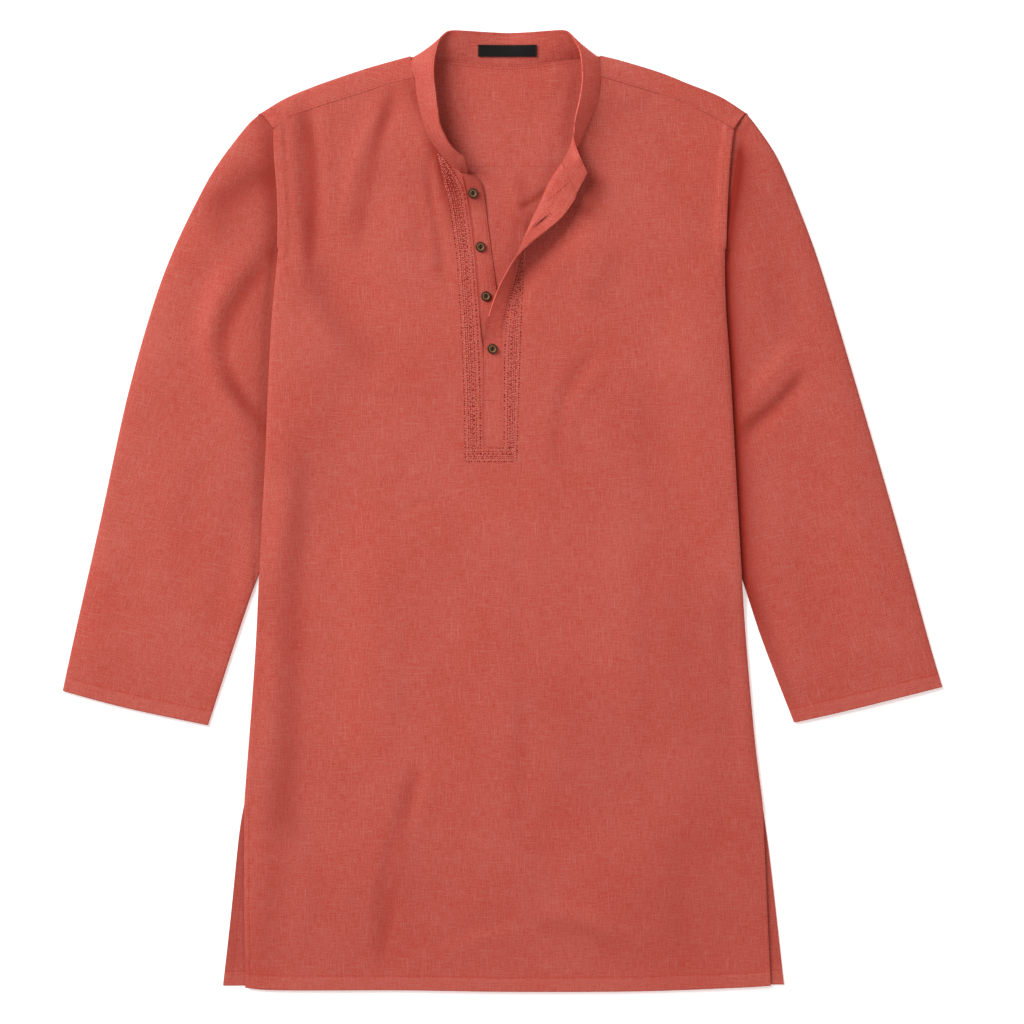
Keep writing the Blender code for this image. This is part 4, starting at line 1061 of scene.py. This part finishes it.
def cloth_piece(name, grids, grains, gaps, wall, material, slot="coral_linen", ring=False):
    """A cloth wall on the grids of its middle. gaps holds, at each point, the distance to a seam, the
    distance to a hem and its painted shade, which is painted highlight where negative."""
    points, faces, grain, gap = welded(grids, grains, gaps, ring)
    obj = piece(name, points, faces, material, slot, cloth=grain, seam=gap[:, 0], edge=gap[:, 1],
                deep=gap[:, 2])
    solid = obj.modifiers.new("wall", "SOLIDIFY")
    solid.thickness = wall * MM
    solid.offset = 0
    cut = obj.modifiers.new("crisp_edges", "EDGE_SPLIT")
    cut.split_angle = math.radians(50)
    return obj


def in_plan(grid, angle=0.0, layer=0.0):
    """Cloth coordinates read off the plan, turned so that the grain runs along the piece."""
    c, s = math.cos(math.radians(angle)), math.sin(math.radians(angle))
    x, y = grid[..., 0], grid[..., 1]
    return np.stack([x * c + y * s, -x * s + y * c, np.full(x.shape, layer)], axis=-1)


def along_itself(grid, layer):
    """Cloth coordinates measured along a strip's own rows and columns."""
    down = np.linalg.norm(np.diff(grid, axis=0), axis=-1).mean(axis=1)
    over = np.linalg.norm(np.diff(grid, axis=1), axis=-1).mean(axis=0)
    v = np.concatenate([[0], np.cumsum(down)])[:, None] * np.ones(grid.shape[1])
    u = np.concatenate([[0], np.cumsum(over)])[None, :] * np.ones(grid.shape[0])[:, None]
    return np.stack([u, v, np.full(u.shape, layer)], axis=-1)


def unmarked(grid):
    """Marks for a grid with no seam, no hem and no painted shade."""
    marks = np.full((*grid.shape[:2], 3), FAR)
    marks[..., 2] = 0
    return marks


def marked(grid, seams, edges, creases=(), painted_shades=()):
    """The distances from the points of a grid to its seams and hems, and its painted shade."""
    plan = grid[..., :2]
    to_seam = np.minimum(distance(plan, seams), FAR)
    to_edge = np.minimum(distance(plan, edges), FAR)
    return np.stack([to_seam, to_edge, painted_shade_at(plan, creases, painted_shades)], axis=-1)


hand = np.random.default_rng(11)  # the unevenness of worked stitches


def normals_of(grid):
    """The way each point of a grid faces."""
    down = np.gradient(grid, axis=0)
    over = np.gradient(grid, axis=1)
    face = np.cross(over, down)
    face /= np.maximum(np.linalg.norm(face, axis=-1), 1e-9)[..., None]
    return face


def dashes(path, facing, pitch, long, wide, high, turn=0.0, start=0.5, loose=0.0):
    """Stitches along a path of 3-D points: their centres, ways along, ways out and sizes.
    loose is how far they stray from an even row."""
    steps = np.linalg.norm(np.diff(path, axis=0), axis=1)
    run = np.concatenate([[0], np.cumsum(steps)])
    count = int((run[-1] - start * pitch) / pitch)
    at = start * pitch + np.arange(max(count, 0)) * pitch
    stray = hand.normal(0, loose, (3, len(at)))
    at = at + stray[0] * pitch * 0.16
    centre = np.stack([np.interp(at, run, path[:, k]) for k in range(3)], axis=1)
    ahead = np.stack([np.interp(at + 0.4, run, path[:, k]) for k in range(3)], axis=1)
    behind = np.stack([np.interp(at - 0.4, run, path[:, k]) for k in range(3)], axis=1)
    out = np.stack([np.interp(at, run, facing[:, k]) for k in range(3)], axis=1)
    out /= np.linalg.norm(out, axis=1)[:, None]
    along = ahead - behind
    along -= (along * out).sum(axis=1)[:, None] * out
    along /= np.maximum(np.linalg.norm(along, axis=1), 1e-9)[:, None]
    over = np.cross(out, along)
    angle = (math.radians(turn) + stray[1] * 0.22)[:, None]
    along = along * np.cos(angle) + over * np.sin(angle)
    size = np.tile([long, wide, high], (len(at), 1)) * (1 + 0.22 * np.clip(stray[2], -2, 2))[:, None]
    return np.concatenate([centre, along, out, size], axis=1)


def stitched(name, rows, material):
    """Small pointed stitches, joined in one mesh."""
    rows = np.concatenate(rows)
    centre, along, out, size = rows[:, :3], rows[:, 3:6], rows[:, 6:9], rows[:, 9:12]
    over = np.cross(out, along)
    half = along * size[:, :1] / 2
    side = over * size[:, 1:2] / 2
    up = out * size[:, 2:3]
    corners = np.stack([centre - half, centre + side, centre + half, centre - side,
                        centre + up, centre - up * 0.5], axis=1)
    points = corners.reshape(-1, 3)
    faces = []
    for k in range(len(rows)):
        a = 6 * k
        for i in range(4):
            faces.append((a + i, a + 4, a + (i + 1) % 4)[::-1])
            faces.append((a + i, a + (i + 1) % 4, a + 5)[::-1])
    return piece(name, points, faces, material, "coral_linen")


def laid(line, level, clear):
    """A plan line laid on a layer, as 3-D points and the way the cloth faces there."""
    z = level(line)
    d = 0.6
    slope_x = (level(line + [d, 0]) - level(line - [d, 0])) / (2 * d)
    slope_y = (level(line + [0, d]) - level(line - [0, d])) / (2 * d)
    facing = np.stack([-slope_x, -slope_y, np.ones(len(line))], axis=1)
    facing /= np.linalg.norm(facing, axis=1)[:, None]
    return np.column_stack([line, z]) + facing * clear, facing


# ---------------------------------------------------------------------------- the cloth

coral = linen("coral_linen")
coral_band = linen("coral_linen_band", lift=0.8)
sewing = thread("sewing_thread", (0.40, 0.056, 0.040))
floss = thread("embroidery_floss", (0.65, 0.190, 0.148), 0.6)
dark_floss_and_eyelet_shade = thread("embroidery_floss_dark_and_eyelet_shade", (0.275, 0.0225, 0.0150), 0.8)
shade_thread = thread("dark_thread_and_slit_shadow", (0.045, 0.008, 0.006), 0.8)
dark_horn = horn()
black_satin = satin()

YOKE_SEAMS = list(YOKE_SEAM.values())
ARMHOLES = {side: ARMHOLE[side] + [(ARMHOLE[side][-1][0], 255)] for side in (R, L)}
BOTH_ARMHOLES = list(ARMHOLES.values())
YOKE_BACK = [[(YOKE_BACK_X[side], YOKE_BACK_Y) for side in (R, L)]]
FAINT = 0.25  # how far the mark of the inner seam is kept from its darkest

front_parts = front_grids()
front_marks = [marked(g, YOKE_SEAMS + BOTH_ARMHOLES, [HEM_FRONT], FRONT_CREASES, FRONT_PAINTED_SHADES)
               for g in front_parts]
roll = front_parts[3]
roll_y = roll[..., 1]
# Painted highlight on the turned edge, which stands in shade, most of all low down where it stands
# up.
front_marks[3][..., 2] = -(1.5 + 4.5 * ease((262 - roll_y) / 24)) * ease((roll_y - 162) / 20)
# The seam's mark is fainter on the front's own edge beside the sleeves.
for half, marks in zip(front_parts[1:3], front_marks[1:3]):
    marks[..., 0] += 0.5 * ((np.abs(half[..., 0]) > 150) & (half[..., 1] < 380))
front_grain = [in_plan(g) for g in front_parts]
front = cloth_piece("front", front_parts, front_grain, front_marks, WALL, coral)
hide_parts("front_panel")

back_parts = back_grids()
back_marks = [marked(g, YOKE_BACK + BOTH_ARMHOLES, [HEM_BACK], BACK_CREASES, BACK_PAINTED_SHADES)
              + [FAINT, 0, 0] for g in back_parts]
back_grain = [in_plan(g, 0, 60) for g in back_parts]
back = cloth_piece("back", back_parts, back_grain, back_marks, WALL, coral)
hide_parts("back_panel")

yoke_parts = yoke_grids()
yoke_marks = [marked(yoke_parts[0], YOKE_BACK, [], BACK_CREASES, BACK_PAINTED_SHADES) + [FAINT, 0, 0]]
caps = list(ARMHOLE_CAP.values())
yoke_marks += [marked(g, YOKE_SEAMS + caps, [], FRONT_CREASES) for g in yoke_parts[1:]]
yoke_grain = [in_plan(g, angle, layer)
              for g, angle, layer in zip(yoke_parts, (0, -14, 14), (120, 130, 140))]
yoke = cloth_piece("shoulder_yoke", yoke_parts, yoke_grain, yoke_marks, WALL, coral)
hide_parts("yoke")

SLEEVE_GRAIN = 14.2  # how far each sleeve's grain leans out, in degrees
for side, word in ((R, "right"), (L, "left")):
    rings = sleeve_grid(side)
    y, z = rings[..., 1], rings[..., 2]
    marks = marked(rings, [ARMHOLES[side], ARMHOLE_CAP[side]], [CUFF[side]],
                   SLEEVE_CREASES, SLEEVE_PAINTED_SHADES)
    # Painted shade on the sleeve beside the body's edge, which shades it: deeper on the wearer's
    # left, and off the seam higher up.
    beside_body = distance(rings[..., :2], [SIDES[side]])
    gap = np.minimum(marks[..., 0], np.where(y < ARMPIT_Y, beside_body, FAR))
    beyond = gap - (8.0 * ease((y - 262) / 90) if side > 0 else 0.0)
    strength = 8.5 - 6.5 * ease((y - 348) / 30) if side > 0 else 2.4
    marks[..., 2] += strength * np.exp(-np.maximum(beyond, -3.0 * beyond) / 9.5)
    grain = in_plan(rings, side * SLEEVE_GRAIN, 200 + 40 * side)
    grain[..., 2] += np.where(z < CLOTH, 15.0, 0.0)
    made = cloth_piece(f"{word}_sleeve", [rings], [grain], [marks], WALL, coral, ring=True)
    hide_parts(f"sleeve_{word}")

band = band_grid()
band_grain = along_itself(band, 300)[..., [1, 0, 2]]
band_marks = unmarked(band)
x, y = band[..., 0], band[..., 1]
foot_seam = np.abs(np.linspace(-1.5, 26.5, band.shape[0]))[:, None]
back_seam = np.abs(x - BAND_MIDDLE_X) * 1.6 + (y < 440) * FAR
band_marks[..., 0] = np.minimum(foot_seam, back_seam)
# Painted highlight on the band's right end, which stands up facing away from the lamp, and a little
# across the band's back.
band_marks[..., 2] = -6.0 * ease((x - 66) / 10) * ease((y - 330) / 30)
band_marks[..., 2] -= 0.9 * ease((y - 440) / 8) * ease((70 - np.abs(x - 6)) / 12)
collar = cloth_piece("band_collar", [band], [band_grain], [band_marks], BAND_WALL, coral_band)
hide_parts("collar_band")

stand = stand_grid()
stand_marks = unmarked(stand)
# Painted highlight over the lower stand and painted shade at its top, by the band's end; then a
# darker line along its outer edge, at the seam.
stand_marks[..., 2] = -1.2 + 3.4 * ease((stand[..., 1] - 292) / 26)
stand_marks[..., 0] = np.linspace(0.0, 17, stand.shape[1])[None, :]
stand_marks[..., 2] += 5.0 * np.exp(-stand_marks[..., 0] / 1.2)
button_band = cloth_piece("stand_for_buttons", [stand], [along_itself(stand, 340)], [stand_marks],
                          STRIP_WALL, coral_band)
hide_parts("button_stand")

strip = strip_grid(roll[:, -1])
strip_marks = unmarked(strip)
strip_y = np.array([b.y for b in BENDS_FINE])[:, None]
# Painted shade over the strip's upper facing, which faces the lamp, painted highlight at its top, and
# strong painted highlight about Y 200, where it faces away from the lamp in the shade of the turned
# edge.
strip_marks[..., 2] = (1.3 * ease((strip_y - 244) / 24) - 1.6 * ease((strip_y - 282) / 20) - 0.2
                       - 8.0 * np.exp(-(((strip_y - 200) / 32) ** 2)))
own_seam = np.linspace(17, 0.5, strip.shape[1])[None, :]
# The seam mark also draws a painted shadow line along the strip's free edge beside the slot, below Y
# 196.
beside_slot = np.linspace(0.0, 17, strip.shape[1])[None, :] + 30 * ease((strip[:, :1, 1] - 196) / 12)
at_foot = np.abs(strip[..., 1] - BENDS[0].y) + 0.4
strip_marks[..., 0] = np.minimum(np.minimum(own_seam, beside_slot), at_foot)
placket = cloth_piece("placket_strip", [strip], [along_itself(strip, 380)], [strip_marks],
                      STRIP_WALL, coral_band)
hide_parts("buttonhole_strip")

ribbon = label_grid(band)
ribbon_marks = unmarked(ribbon)
from_middle = np.abs(np.linspace(-1, 1, ribbon.shape[1]))
ribbon_marks[..., 0] = (LABEL[0] / 2 - from_middle * LABEL[0] / 2)[None, :]
label = cloth_piece("label", [ribbon], [along_itself(ribbon, 400)], [ribbon_marks], LABEL[2] * 0.7,
                    black_satin, "black_satin")
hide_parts("neck_label")

# ---------------------------------------------------------------------------- sewing

STITCH = (2.3, 0.5, 0.28)  # length, width and height of a machine stitch
PITCH = 3.0


def run_stitches(level, line, by, first, last):
    """Machine stitches beside a plan line, between two shares of its length."""
    curve = placed(shifted(smooth(line, 200), by), np.linspace(first, last, 200))
    path, facing = laid(curve, level, WALL / 2)
    return dashes(path, facing, PITCH, *STITCH)


# Runs of topstitching: the line they follow, how far aside from it they lie, and the shares of
# its length where they start and end.
Run = namedtuple("Run", "line by first last")
SEWN = [
    ("front_sewing", front_level, [
        Run(HEM_FRONT, HEM_TURN - 0.8, 0.012, 0.988),
        Run(VENT_FRONT[R], VENT_TURN, 0.02, 0.97),
        Run(VENT_FRONT[L], -VENT_TURN, 0.02, 0.97),
        Run(ARMHOLE[R], WELT, 0.03, 0.97),
        Run(ARMHOLE[L], -WELT, 0.03, 0.97),
    ]),
    ("yoke_sewing", front_level, [
        Run(YOKE_SEAM[R], -2.2, 0.01, 0.98),
        Run(YOKE_SEAM[L], 2.2, 0.01, 0.98),
        Run(ARMHOLE_CAP[R], 10.5, 0.10, 1.0),
        Run(ARMHOLE_CAP[L], -10.5, 0.10, 1.0),
    ]),
    ("back_sewing", back_level, [
        Run(HEM_BACK, 11.5, 0.005, 0.995),
        Run(VENT_BACK[R], 9.0, 0.25, 0.98),
        Run(VENT_BACK[L], -9.0, 0.25, 0.98),
    ]),
]
for name, level, runs in SEWN:
    stitched(name, [run_stitches(level, *run) for run in runs], sewing)

across = np.abs(yoke_parts[0][-1, :, 0] - 5) < 82
rows = []
for share in (0.45, 1.15):
    low = int(share)
    path = yoke_parts[0][-1 - low] * (1 - share + low) + yoke_parts[0][-2 - low] * (share - low)
    path = path[across] + [0, 0, WALL / 2]
    rows.append(dashes(path, np.tile([0.0, 0, 1], (len(path), 1)), 2.9, 2.6, 0.55, 0.2))
stitched("neck_sewing", rows, dark_floss_and_eyelet_shade)

for side, word in ((R, "right"), (L, "left")):
    run = Run(CUFF[side], -side * (HEM_TURN - 0.8), 0.02, 0.98)
    rows = [run_stitches(lambda p, s=side: sleeve_level(p, s), *run)]
    stitched(f"{word}_cuff_sewing", rows, sewing)


def on_grid(grid, column, clear, facing_up=1.0, first=0, last=None):
    """The path down one column of a grid, laid on one of its faces."""
    facing = normals_of(grid) * facing_up
    low = int(math.floor(column))
    share = column - low
    high = min(low + 1, grid.shape[1] - 1)
    path = grid[:, low] * (1 - share) + grid[:, high] * share
    out = facing[:, low] * (1 - share) + facing[:, high] * share
    return (path + out * clear)[first:last], out[first:last]


def inward(grid):
    """1 or -1, so that the way a grid faces points up or towards the garment's middle."""
    facing = normals_of(grid)
    return 1.0 if facing[..., 2].mean() > 0 else -1.0


def down_columns(grid, columns, wall, faces):
    """Rows of stitches down some columns of a grid, on one or both of its faces."""
    made = []
    for column in columns:
        for face in faces:
            path, out = on_grid(grid, column, wall / 2, face)
            made.append(dashes(path, out, PITCH, *STITCH))
    return made


stitched("collar_sewing", down_columns(band.transpose(1, 0, 2), (0.6, 9.3), BAND_WALL, (1.0, -1.0)),
         sewing)

up = inward(strip[:30])
rows = down_columns(strip, (0.8, 8.3), STRIP_WALL, (up, -up))
cross = strip[11] + [0, 0, STRIP_WALL / 2]
rows.append(dashes(cross, np.tile([0.0, 0, 1], (len(cross), 1)), 2.4, *STITCH))
stitched("placket_sewing", rows, sewing)

stitched("stand_sewing", down_columns(stand, (0.7, 6.4), STRIP_WALL, (inward(stand),)), sewing)

# ---------------------------------------------------------------------------- embroidery

# The worked border, as its outer and inner edges from the foot up, on each side of the opening.
BORDER_RIGHT_OUT = [(-37.5, 49.5), (-38.8, 116), (-41.3, 180), (-44.5, 231.5), (-46.2, 256.5),
                    (-53.5, 306.5), (-58.7, 326.5), (-65.5, 359)]
BORDER_RIGHT_IN = [(-20.8, 65.5), (-21.3, 116), (-23.8, 180), (-27.3, 231.5), (-29.3, 256.5),
                   (-34.5, 300), (-40.0, 326.5), (-60.5, 355)]
BORDER_LEFT_OUT = [(14.5, 49.5), (16.5, 111.5), (18.3, 170), (19.3, 200), (20.9, 231.5), (22.5, 262)]
BORDER_LEFT_IN = [(0.6, 65.5), (0.8, 111.5), (1.4, 165), (4.2, 196), (12.4, 231.5), (21.5, 262)]
BORDER_FOOT_LOW = [(-37.5, 49.5), (14.5, 49.5)]
BORDER_FOOT_HIGH = [(-37.5, 64.5), (14.5, 64.5)]

# One row of stitches: its share of the way from the border's outer edge to its inner one, the
# distance between stitches, their length, width, height and turn, whether they are dark (flat dark
# stitches that paint the shade in the border's eyelet holes), and how far into the first step they
# begin.
Worked = namedtuple("Worked", "share pitch long wide high turn dark start", defaults=[0.5])
BORDER_ROWS = [
    Worked(0.03, 2.7, 1.6, 1.7, 0.16, 0, True),
    Worked(0.095, 2.2, 2.3, 1.0, 0.60, 24, False),
    Worked(0.18, 1.9, 2.4, 1.10, 0.75, 0, False),
    Worked(0.25, 2.4, 1.6, 1.4, 0.16, 0, True),
    Worked(0.31, 2.4, 2.6, 0.95, 0.60, 52, False),
    Worked(0.37, 2.4, 1.6, 1.4, 0.16, 0, True),
    Worked(0.43, 2.4, 2.6, 0.95, 0.60, -52, False),
    Worked(0.49, 2.4, 1.5, 1.3, 0.16, 0, True),
    Worked(0.57, 4.4, 2.0, 1.9, 0.16, 0, True),
    Worked(0.57, 4.4, 2.6, 0.9, 0.55, 90, False, 1.0),
    Worked(0.65, 2.4, 1.8, 0.95, 0.60, -40, False),
    Worked(0.71, 2.4, 1.6, 1.4, 0.16, 0, True),
    Worked(0.77, 2.4, 2.6, 0.95, 0.60, 52, False),
    Worked(0.85, 2.2, 2.2, 0.95, 0.60, 0, False),
    Worked(0.93, 3.0, 1.9, 1.6, 0.16, 0, True),
]
# The rows that go on over the turned edge: the column of its grid, and then the same numbers.
ROLL_ROWS = [
    (2.0, 2.4, 1.5, 1.2, 0.14, 0, True),
    (4.0, 2.2, 2.2, 0.8, 0.42, 52, False),
    (6.0, 2.4, 1.5, 1.2, 0.14, 0, True),
    (8.0, 2.2, 2.2, 0.8, 0.42, -52, False),
    (10.0, 2.4, 1.5, 1.2, 0.14, 0, True),
]

light, dark = [], []
for outer, inner in ((BORDER_RIGHT_OUT, BORDER_RIGHT_IN), (BORDER_LEFT_OUT, BORDER_LEFT_IN),
                     (BORDER_FOOT_LOW, BORDER_FOOT_HIGH)):
    a, b = smooth(outer, 160), smooth(inner, 160)
    for row in BORDER_ROWS:
        path, facing = laid(a * (1 - row.share) + b * row.share, front_level, WALL / 2 + 0.02)
        made = dashes(path, facing, row.pitch, row.long, row.wide, row.high, row.turn, row.start, 1.0)
        (dark if row.dark else light).append(made)
up = inward(roll)
for column, pitch, long, wide, high, turn, is_dark in ROLL_ROWS:
    path, out = on_grid(roll, column, WALL / 2, up, 28, 54)
    (dark if is_dark else light).append(dashes(path, out, pitch, long, wide, high, turn))
stitched("border_embroidery", light, floss)
# The dark rows are painted shade in the eyelet holes of the border.
stitched("border_eyelet_shadows", dark, dark_floss_and_eyelet_shade)

# ---------------------------------------------------------------------------- buttonhole


def strip_height(x, y):
    """How high the strip's upper face is at a place, and the way it faces."""
    flat = strip.reshape(-1, 3)
    facing = normals_of(strip)
    facing = (facing * np.sign(facing[..., 2:3] + 1e-9)).reshape(-1, 3)
    near = np.exp(-((flat[:, 0] - x) ** 2 + (flat[:, 1] - y) ** 2) / 6.0)
    z = (near * flat[:, 2]).sum() / near.sum()
    out = (near[:, None] * facing).sum(axis=0)
    return z, out / np.linalg.norm(out)


def on_strip(points, clear):
    """Plan points laid on the strip, as 3-D points and the way it faces there."""
    path, facing = [], []
    for x, y in points:
        z, out = strip_height(x, y)
        path.append(np.array([x, y, z]) + out * clear)
        facing.append(out)
    return np.array(path), np.array(facing)


def between(first, last, count):
    """Even points on a straight line in plan."""
    return [np.array(first) * (1 - t) + np.array(last) * t for t in np.linspace(0, 1, count)]


start, end = np.array([31.0, 282.5]), np.array([47.0, 296.5])  # the ends of the slit
length = np.linalg.norm(end - start)
along = (end - start) / length
over = np.array([-along[1], along[0]])
on_top = STRIP_WALL / 2
# A flat dark sheet along the slit: painted shadow for the opening of the buttonhole.
path, facing = on_strip([start + (end - start) * t for t in (0.49, 0.5, 0.51)], on_top + 0.12)
slit_shadow_row = dashes(path, facing, 0.2, 1, 1, 1)[:1]
slit_shadow_row[0, 9:12] = [length, 1.5, 0.2]
stitched("buttonhole_slit_shadow", [slit_shadow_row], shade_thread)
worked = []
for sign in (-1, 1):
    beside = [start + along * d + over * sign * 1.5 for d in np.linspace(-0.5, 21, 40)]
    path, facing = on_strip(beside, on_top)
    worked.append(dashes(path, facing, 0.9, 1.9, 0.5, 0.34, 90))
bar = [end + along * 0.8 + over * d for d in np.linspace(-2.6, 2.6, 12)]
path, facing = on_strip(bar, on_top)
worked.append(dashes(path, facing, 0.8, 2.0, 0.55, 0.36, 90))
stitched("buttonhole_sewing", worked, sewing)
rows = []
for line in (between((65.5, 327.5), (42.5, 307.5), 30), between((63.6, 335.0), (73.4, 319.6), 20)):
    path, facing = on_strip(line, on_top + 0.1)
    rows.append(dashes(path, facing, 2.3, 1.8, 0.5, 0.34))
stitched("facing_sewing", rows, dark_floss_and_eyelet_shade)

# ---------------------------------------------------------------------------- buttons


def button(name, spec, level, up):
    """A turned disc with a raised rim, a ring and a dished middle with two holes, sewn on."""
    made = bmesh.new()
    profile = [(0, 0), (4.2, 0), (4.75, 0.35), (5.0, 0.95), (4.92, 1.55), (4.6, 2.0), (4.25, 2.2),
               (3.9, 2.12), (3.6, 1.82), (3.45, 1.72), (3.05, 1.86), (2.65, 1.72), (2.3, 1.5),
               (1.4, 1.38), (0, 1.36)]
    verts = [made.verts.new((r * MM, 0, z * MM)) for r, z in profile]
    edges = [made.edges.new(pair) for pair in zip(verts, verts[1:])]
    bmesh.ops.spin(made, geom=verts + edges, cent=(0, 0, 0), axis=(0, 0, 1), angle=2 * math.pi,
                   steps=56)
    bmesh.ops.remove_doubles(made, verts=made.verts, dist=1e-6)
    bmesh.ops.recalc_face_normals(made, faces=made.faces)
    mesh = bpy.data.meshes.new(name)
    made.to_mesh(mesh)
    made.free()
    blank_disc = bpy.data.objects.new(name + "_blank", mesh)
    bpy.context.scene.collection.objects.link(blank_disc)
    drills = []
    for sign in (-1, 1):
        drill = bmesh.new()
        bmesh.ops.create_cone(drill, cap_ends=True, segments=18, radius1=0.75 * MM, radius2=0.75 * MM,
                              depth=12 * MM)
        drill_mesh = bpy.data.meshes.new(name + "_drill")
        drill.to_mesh(drill_mesh)
        drill.free()
        cutter = bpy.data.objects.new(drill_mesh.name, drill_mesh)
        cutter.location = (0, sign * 1.3 * MM, 0)
        bpy.context.scene.collection.objects.link(cutter)
        drills.append(cutter)
        cut = blank_disc.modifiers.new("hole", "BOOLEAN")
        cut.operation = "DIFFERENCE"
        cut.solver = "EXACT"
        cut.object = cutter
    bpy.context.view_layer.update()
    graph = bpy.context.evaluated_depsgraph_get()
    drilled = bpy.data.meshes.new_from_object(blank_disc.evaluated_get(graph))
    points = np.array([v.co[:] for v in drilled.vertices]) / MM
    faces = [tuple(p.vertices) for p in drilled.polygons]
    for extra in [blank_disc, *drills]:
        bpy.data.objects.remove(extra)
    turn = math.radians(spec.tilt)
    out = np.hypot(points[:, 0], points[:, 1])
    spun = np.column_stack([points[:, 0] * math.cos(turn) - points[:, 1] * math.sin(turn),
                            points[:, 0] * math.sin(turn) + points[:, 1] * math.cos(turn),
                            points[:, 2]])
    side = np.cross([0.0, 1.0, 0.0], up)
    side /= np.linalg.norm(side)
    turned_axes = np.stack([side, np.cross(up, side), up])
    laid_points = spun @ turned_axes + [spec.x, spec.y, level]
    disc = piece(name, laid_points, faces, dark_horn, "dark_horn", out=out)
    disc.data.set_sharp_from_angle(angle=math.radians(35))
    middle = np.array([spec.x, spec.y, level]) + up * 1.55
    way = np.array([-math.sin(turn), math.cos(turn), 0])
    rows = []
    for shift in (-0.28, 0.0, 0.28):
        off = np.cross(up, way) * shift
        rows.append([*(middle + off), *way, *up, 2.9, 0.30, 0.30])
    stitched(name + "_thread", [np.array(rows)], shade_thread)
    return disc


for k, spec in enumerate(BUTTONS):
    under = stand if k < len(BUTTONS) - 1 else strip
    flat = under.reshape(-1, 3)
    facing = (normals_of(under) * inward(under)).reshape(-1, 3)
    off = np.hypot(flat[:, 0] - spec.x, flat[:, 1] - spec.y)
    near = np.argsort(off)[:12]
    level = flat[off < 5.2, 2].max() + STRIP_WALL / 2 - 0.15
    up = facing[near].mean(axis=0)
    up = up / np.linalg.norm(up)
    up = (up + [0, 0, 3]) / np.linalg.norm(up + [0, 0, 3])
    disc = button(f"horn_button_{k + 1}", spec, level, up)
    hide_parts(f"button_{k + 1}")

# ---------------------------------------------------------------------------- floor, light, camera


def backdrop():
    """The pale surface that the garment lies on."""
    mesh = bpy.data.meshes.new("floor")
    made = bmesh.new()
    bmesh.ops.create_grid(made, x_segments=1, y_segments=1, size=6.0)
    made.to_mesh(mesh)
    made.free()
    paper, shader, start = blank("floor_paper", Roughness=0.9, Specular_IOR_Level=0.1,
                                 Emission_Strength=0.3)
    tooth = start.place().stretched(90, 90, 90).noise(2.0)
    feed(shader, "Base Color", start.paint(0.96, 0.965, 0.97).tinted(1.0 + (tooth - 0.5) * 0.01))
    mesh.materials.append(paper)
    obj = bpy.data.objects.new("floor", mesh)
    obj.location = (0, 0, -0.0003)
    bpy.context.scene.collection.objects.link(obj)


def lamp(name, place, size, power, colour=(1, 1, 1)):
    """A square soft light, aimed at the garment."""
    data = bpy.data.lights.new(name, "AREA")
    data.shape = "SQUARE"
    data.size = size
    data.energy = power
    data.color = colour
    obj = bpy.data.objects.new(name, data)
    obj.location = place
    aim = -obj.location
    obj.rotation_euler = aim.to_track_quat("-Z", "Y").to_euler()
    obj.visible_camera = False
    bpy.context.scene.collection.objects.link(obj)


backdrop()
lamp("key", (-3.4, 2.9, 3.6), 3.5, 458, (0.95, 1.0, 1.0))
lamp("fill", (1.8, -2.0, 2.8), 2.8, 52)

room = bpy.data.worlds.new("room")
room.use_nodes = True
room.node_tree.nodes["Background"].inputs["Color"].default_value = (1.0, 0.62, 0.56, 1)
room.node_tree.nodes["Background"].inputs["Strength"].default_value = 0.30
bpy.context.scene.world = room
bpy.context.scene.view_settings.view_transform = "Standard"

CAMERA_HEIGHT = 4.0
VIEW_WIDE = 1.024
lens = bpy.data.cameras.new("camera")
lens.sensor_width = 36
lens.lens = 36 * CAMERA_HEIGHT / VIEW_WIDE
lens.clip_end = 20
camera = bpy.data.objects.new("camera", lens)
camera.location = (9.5 * MM, -0.5 * MM, CAMERA_HEIGHT + 5 * MM)
bpy.context.scene.collection.objects.link(camera)
bpy.context.scene.camera = camera
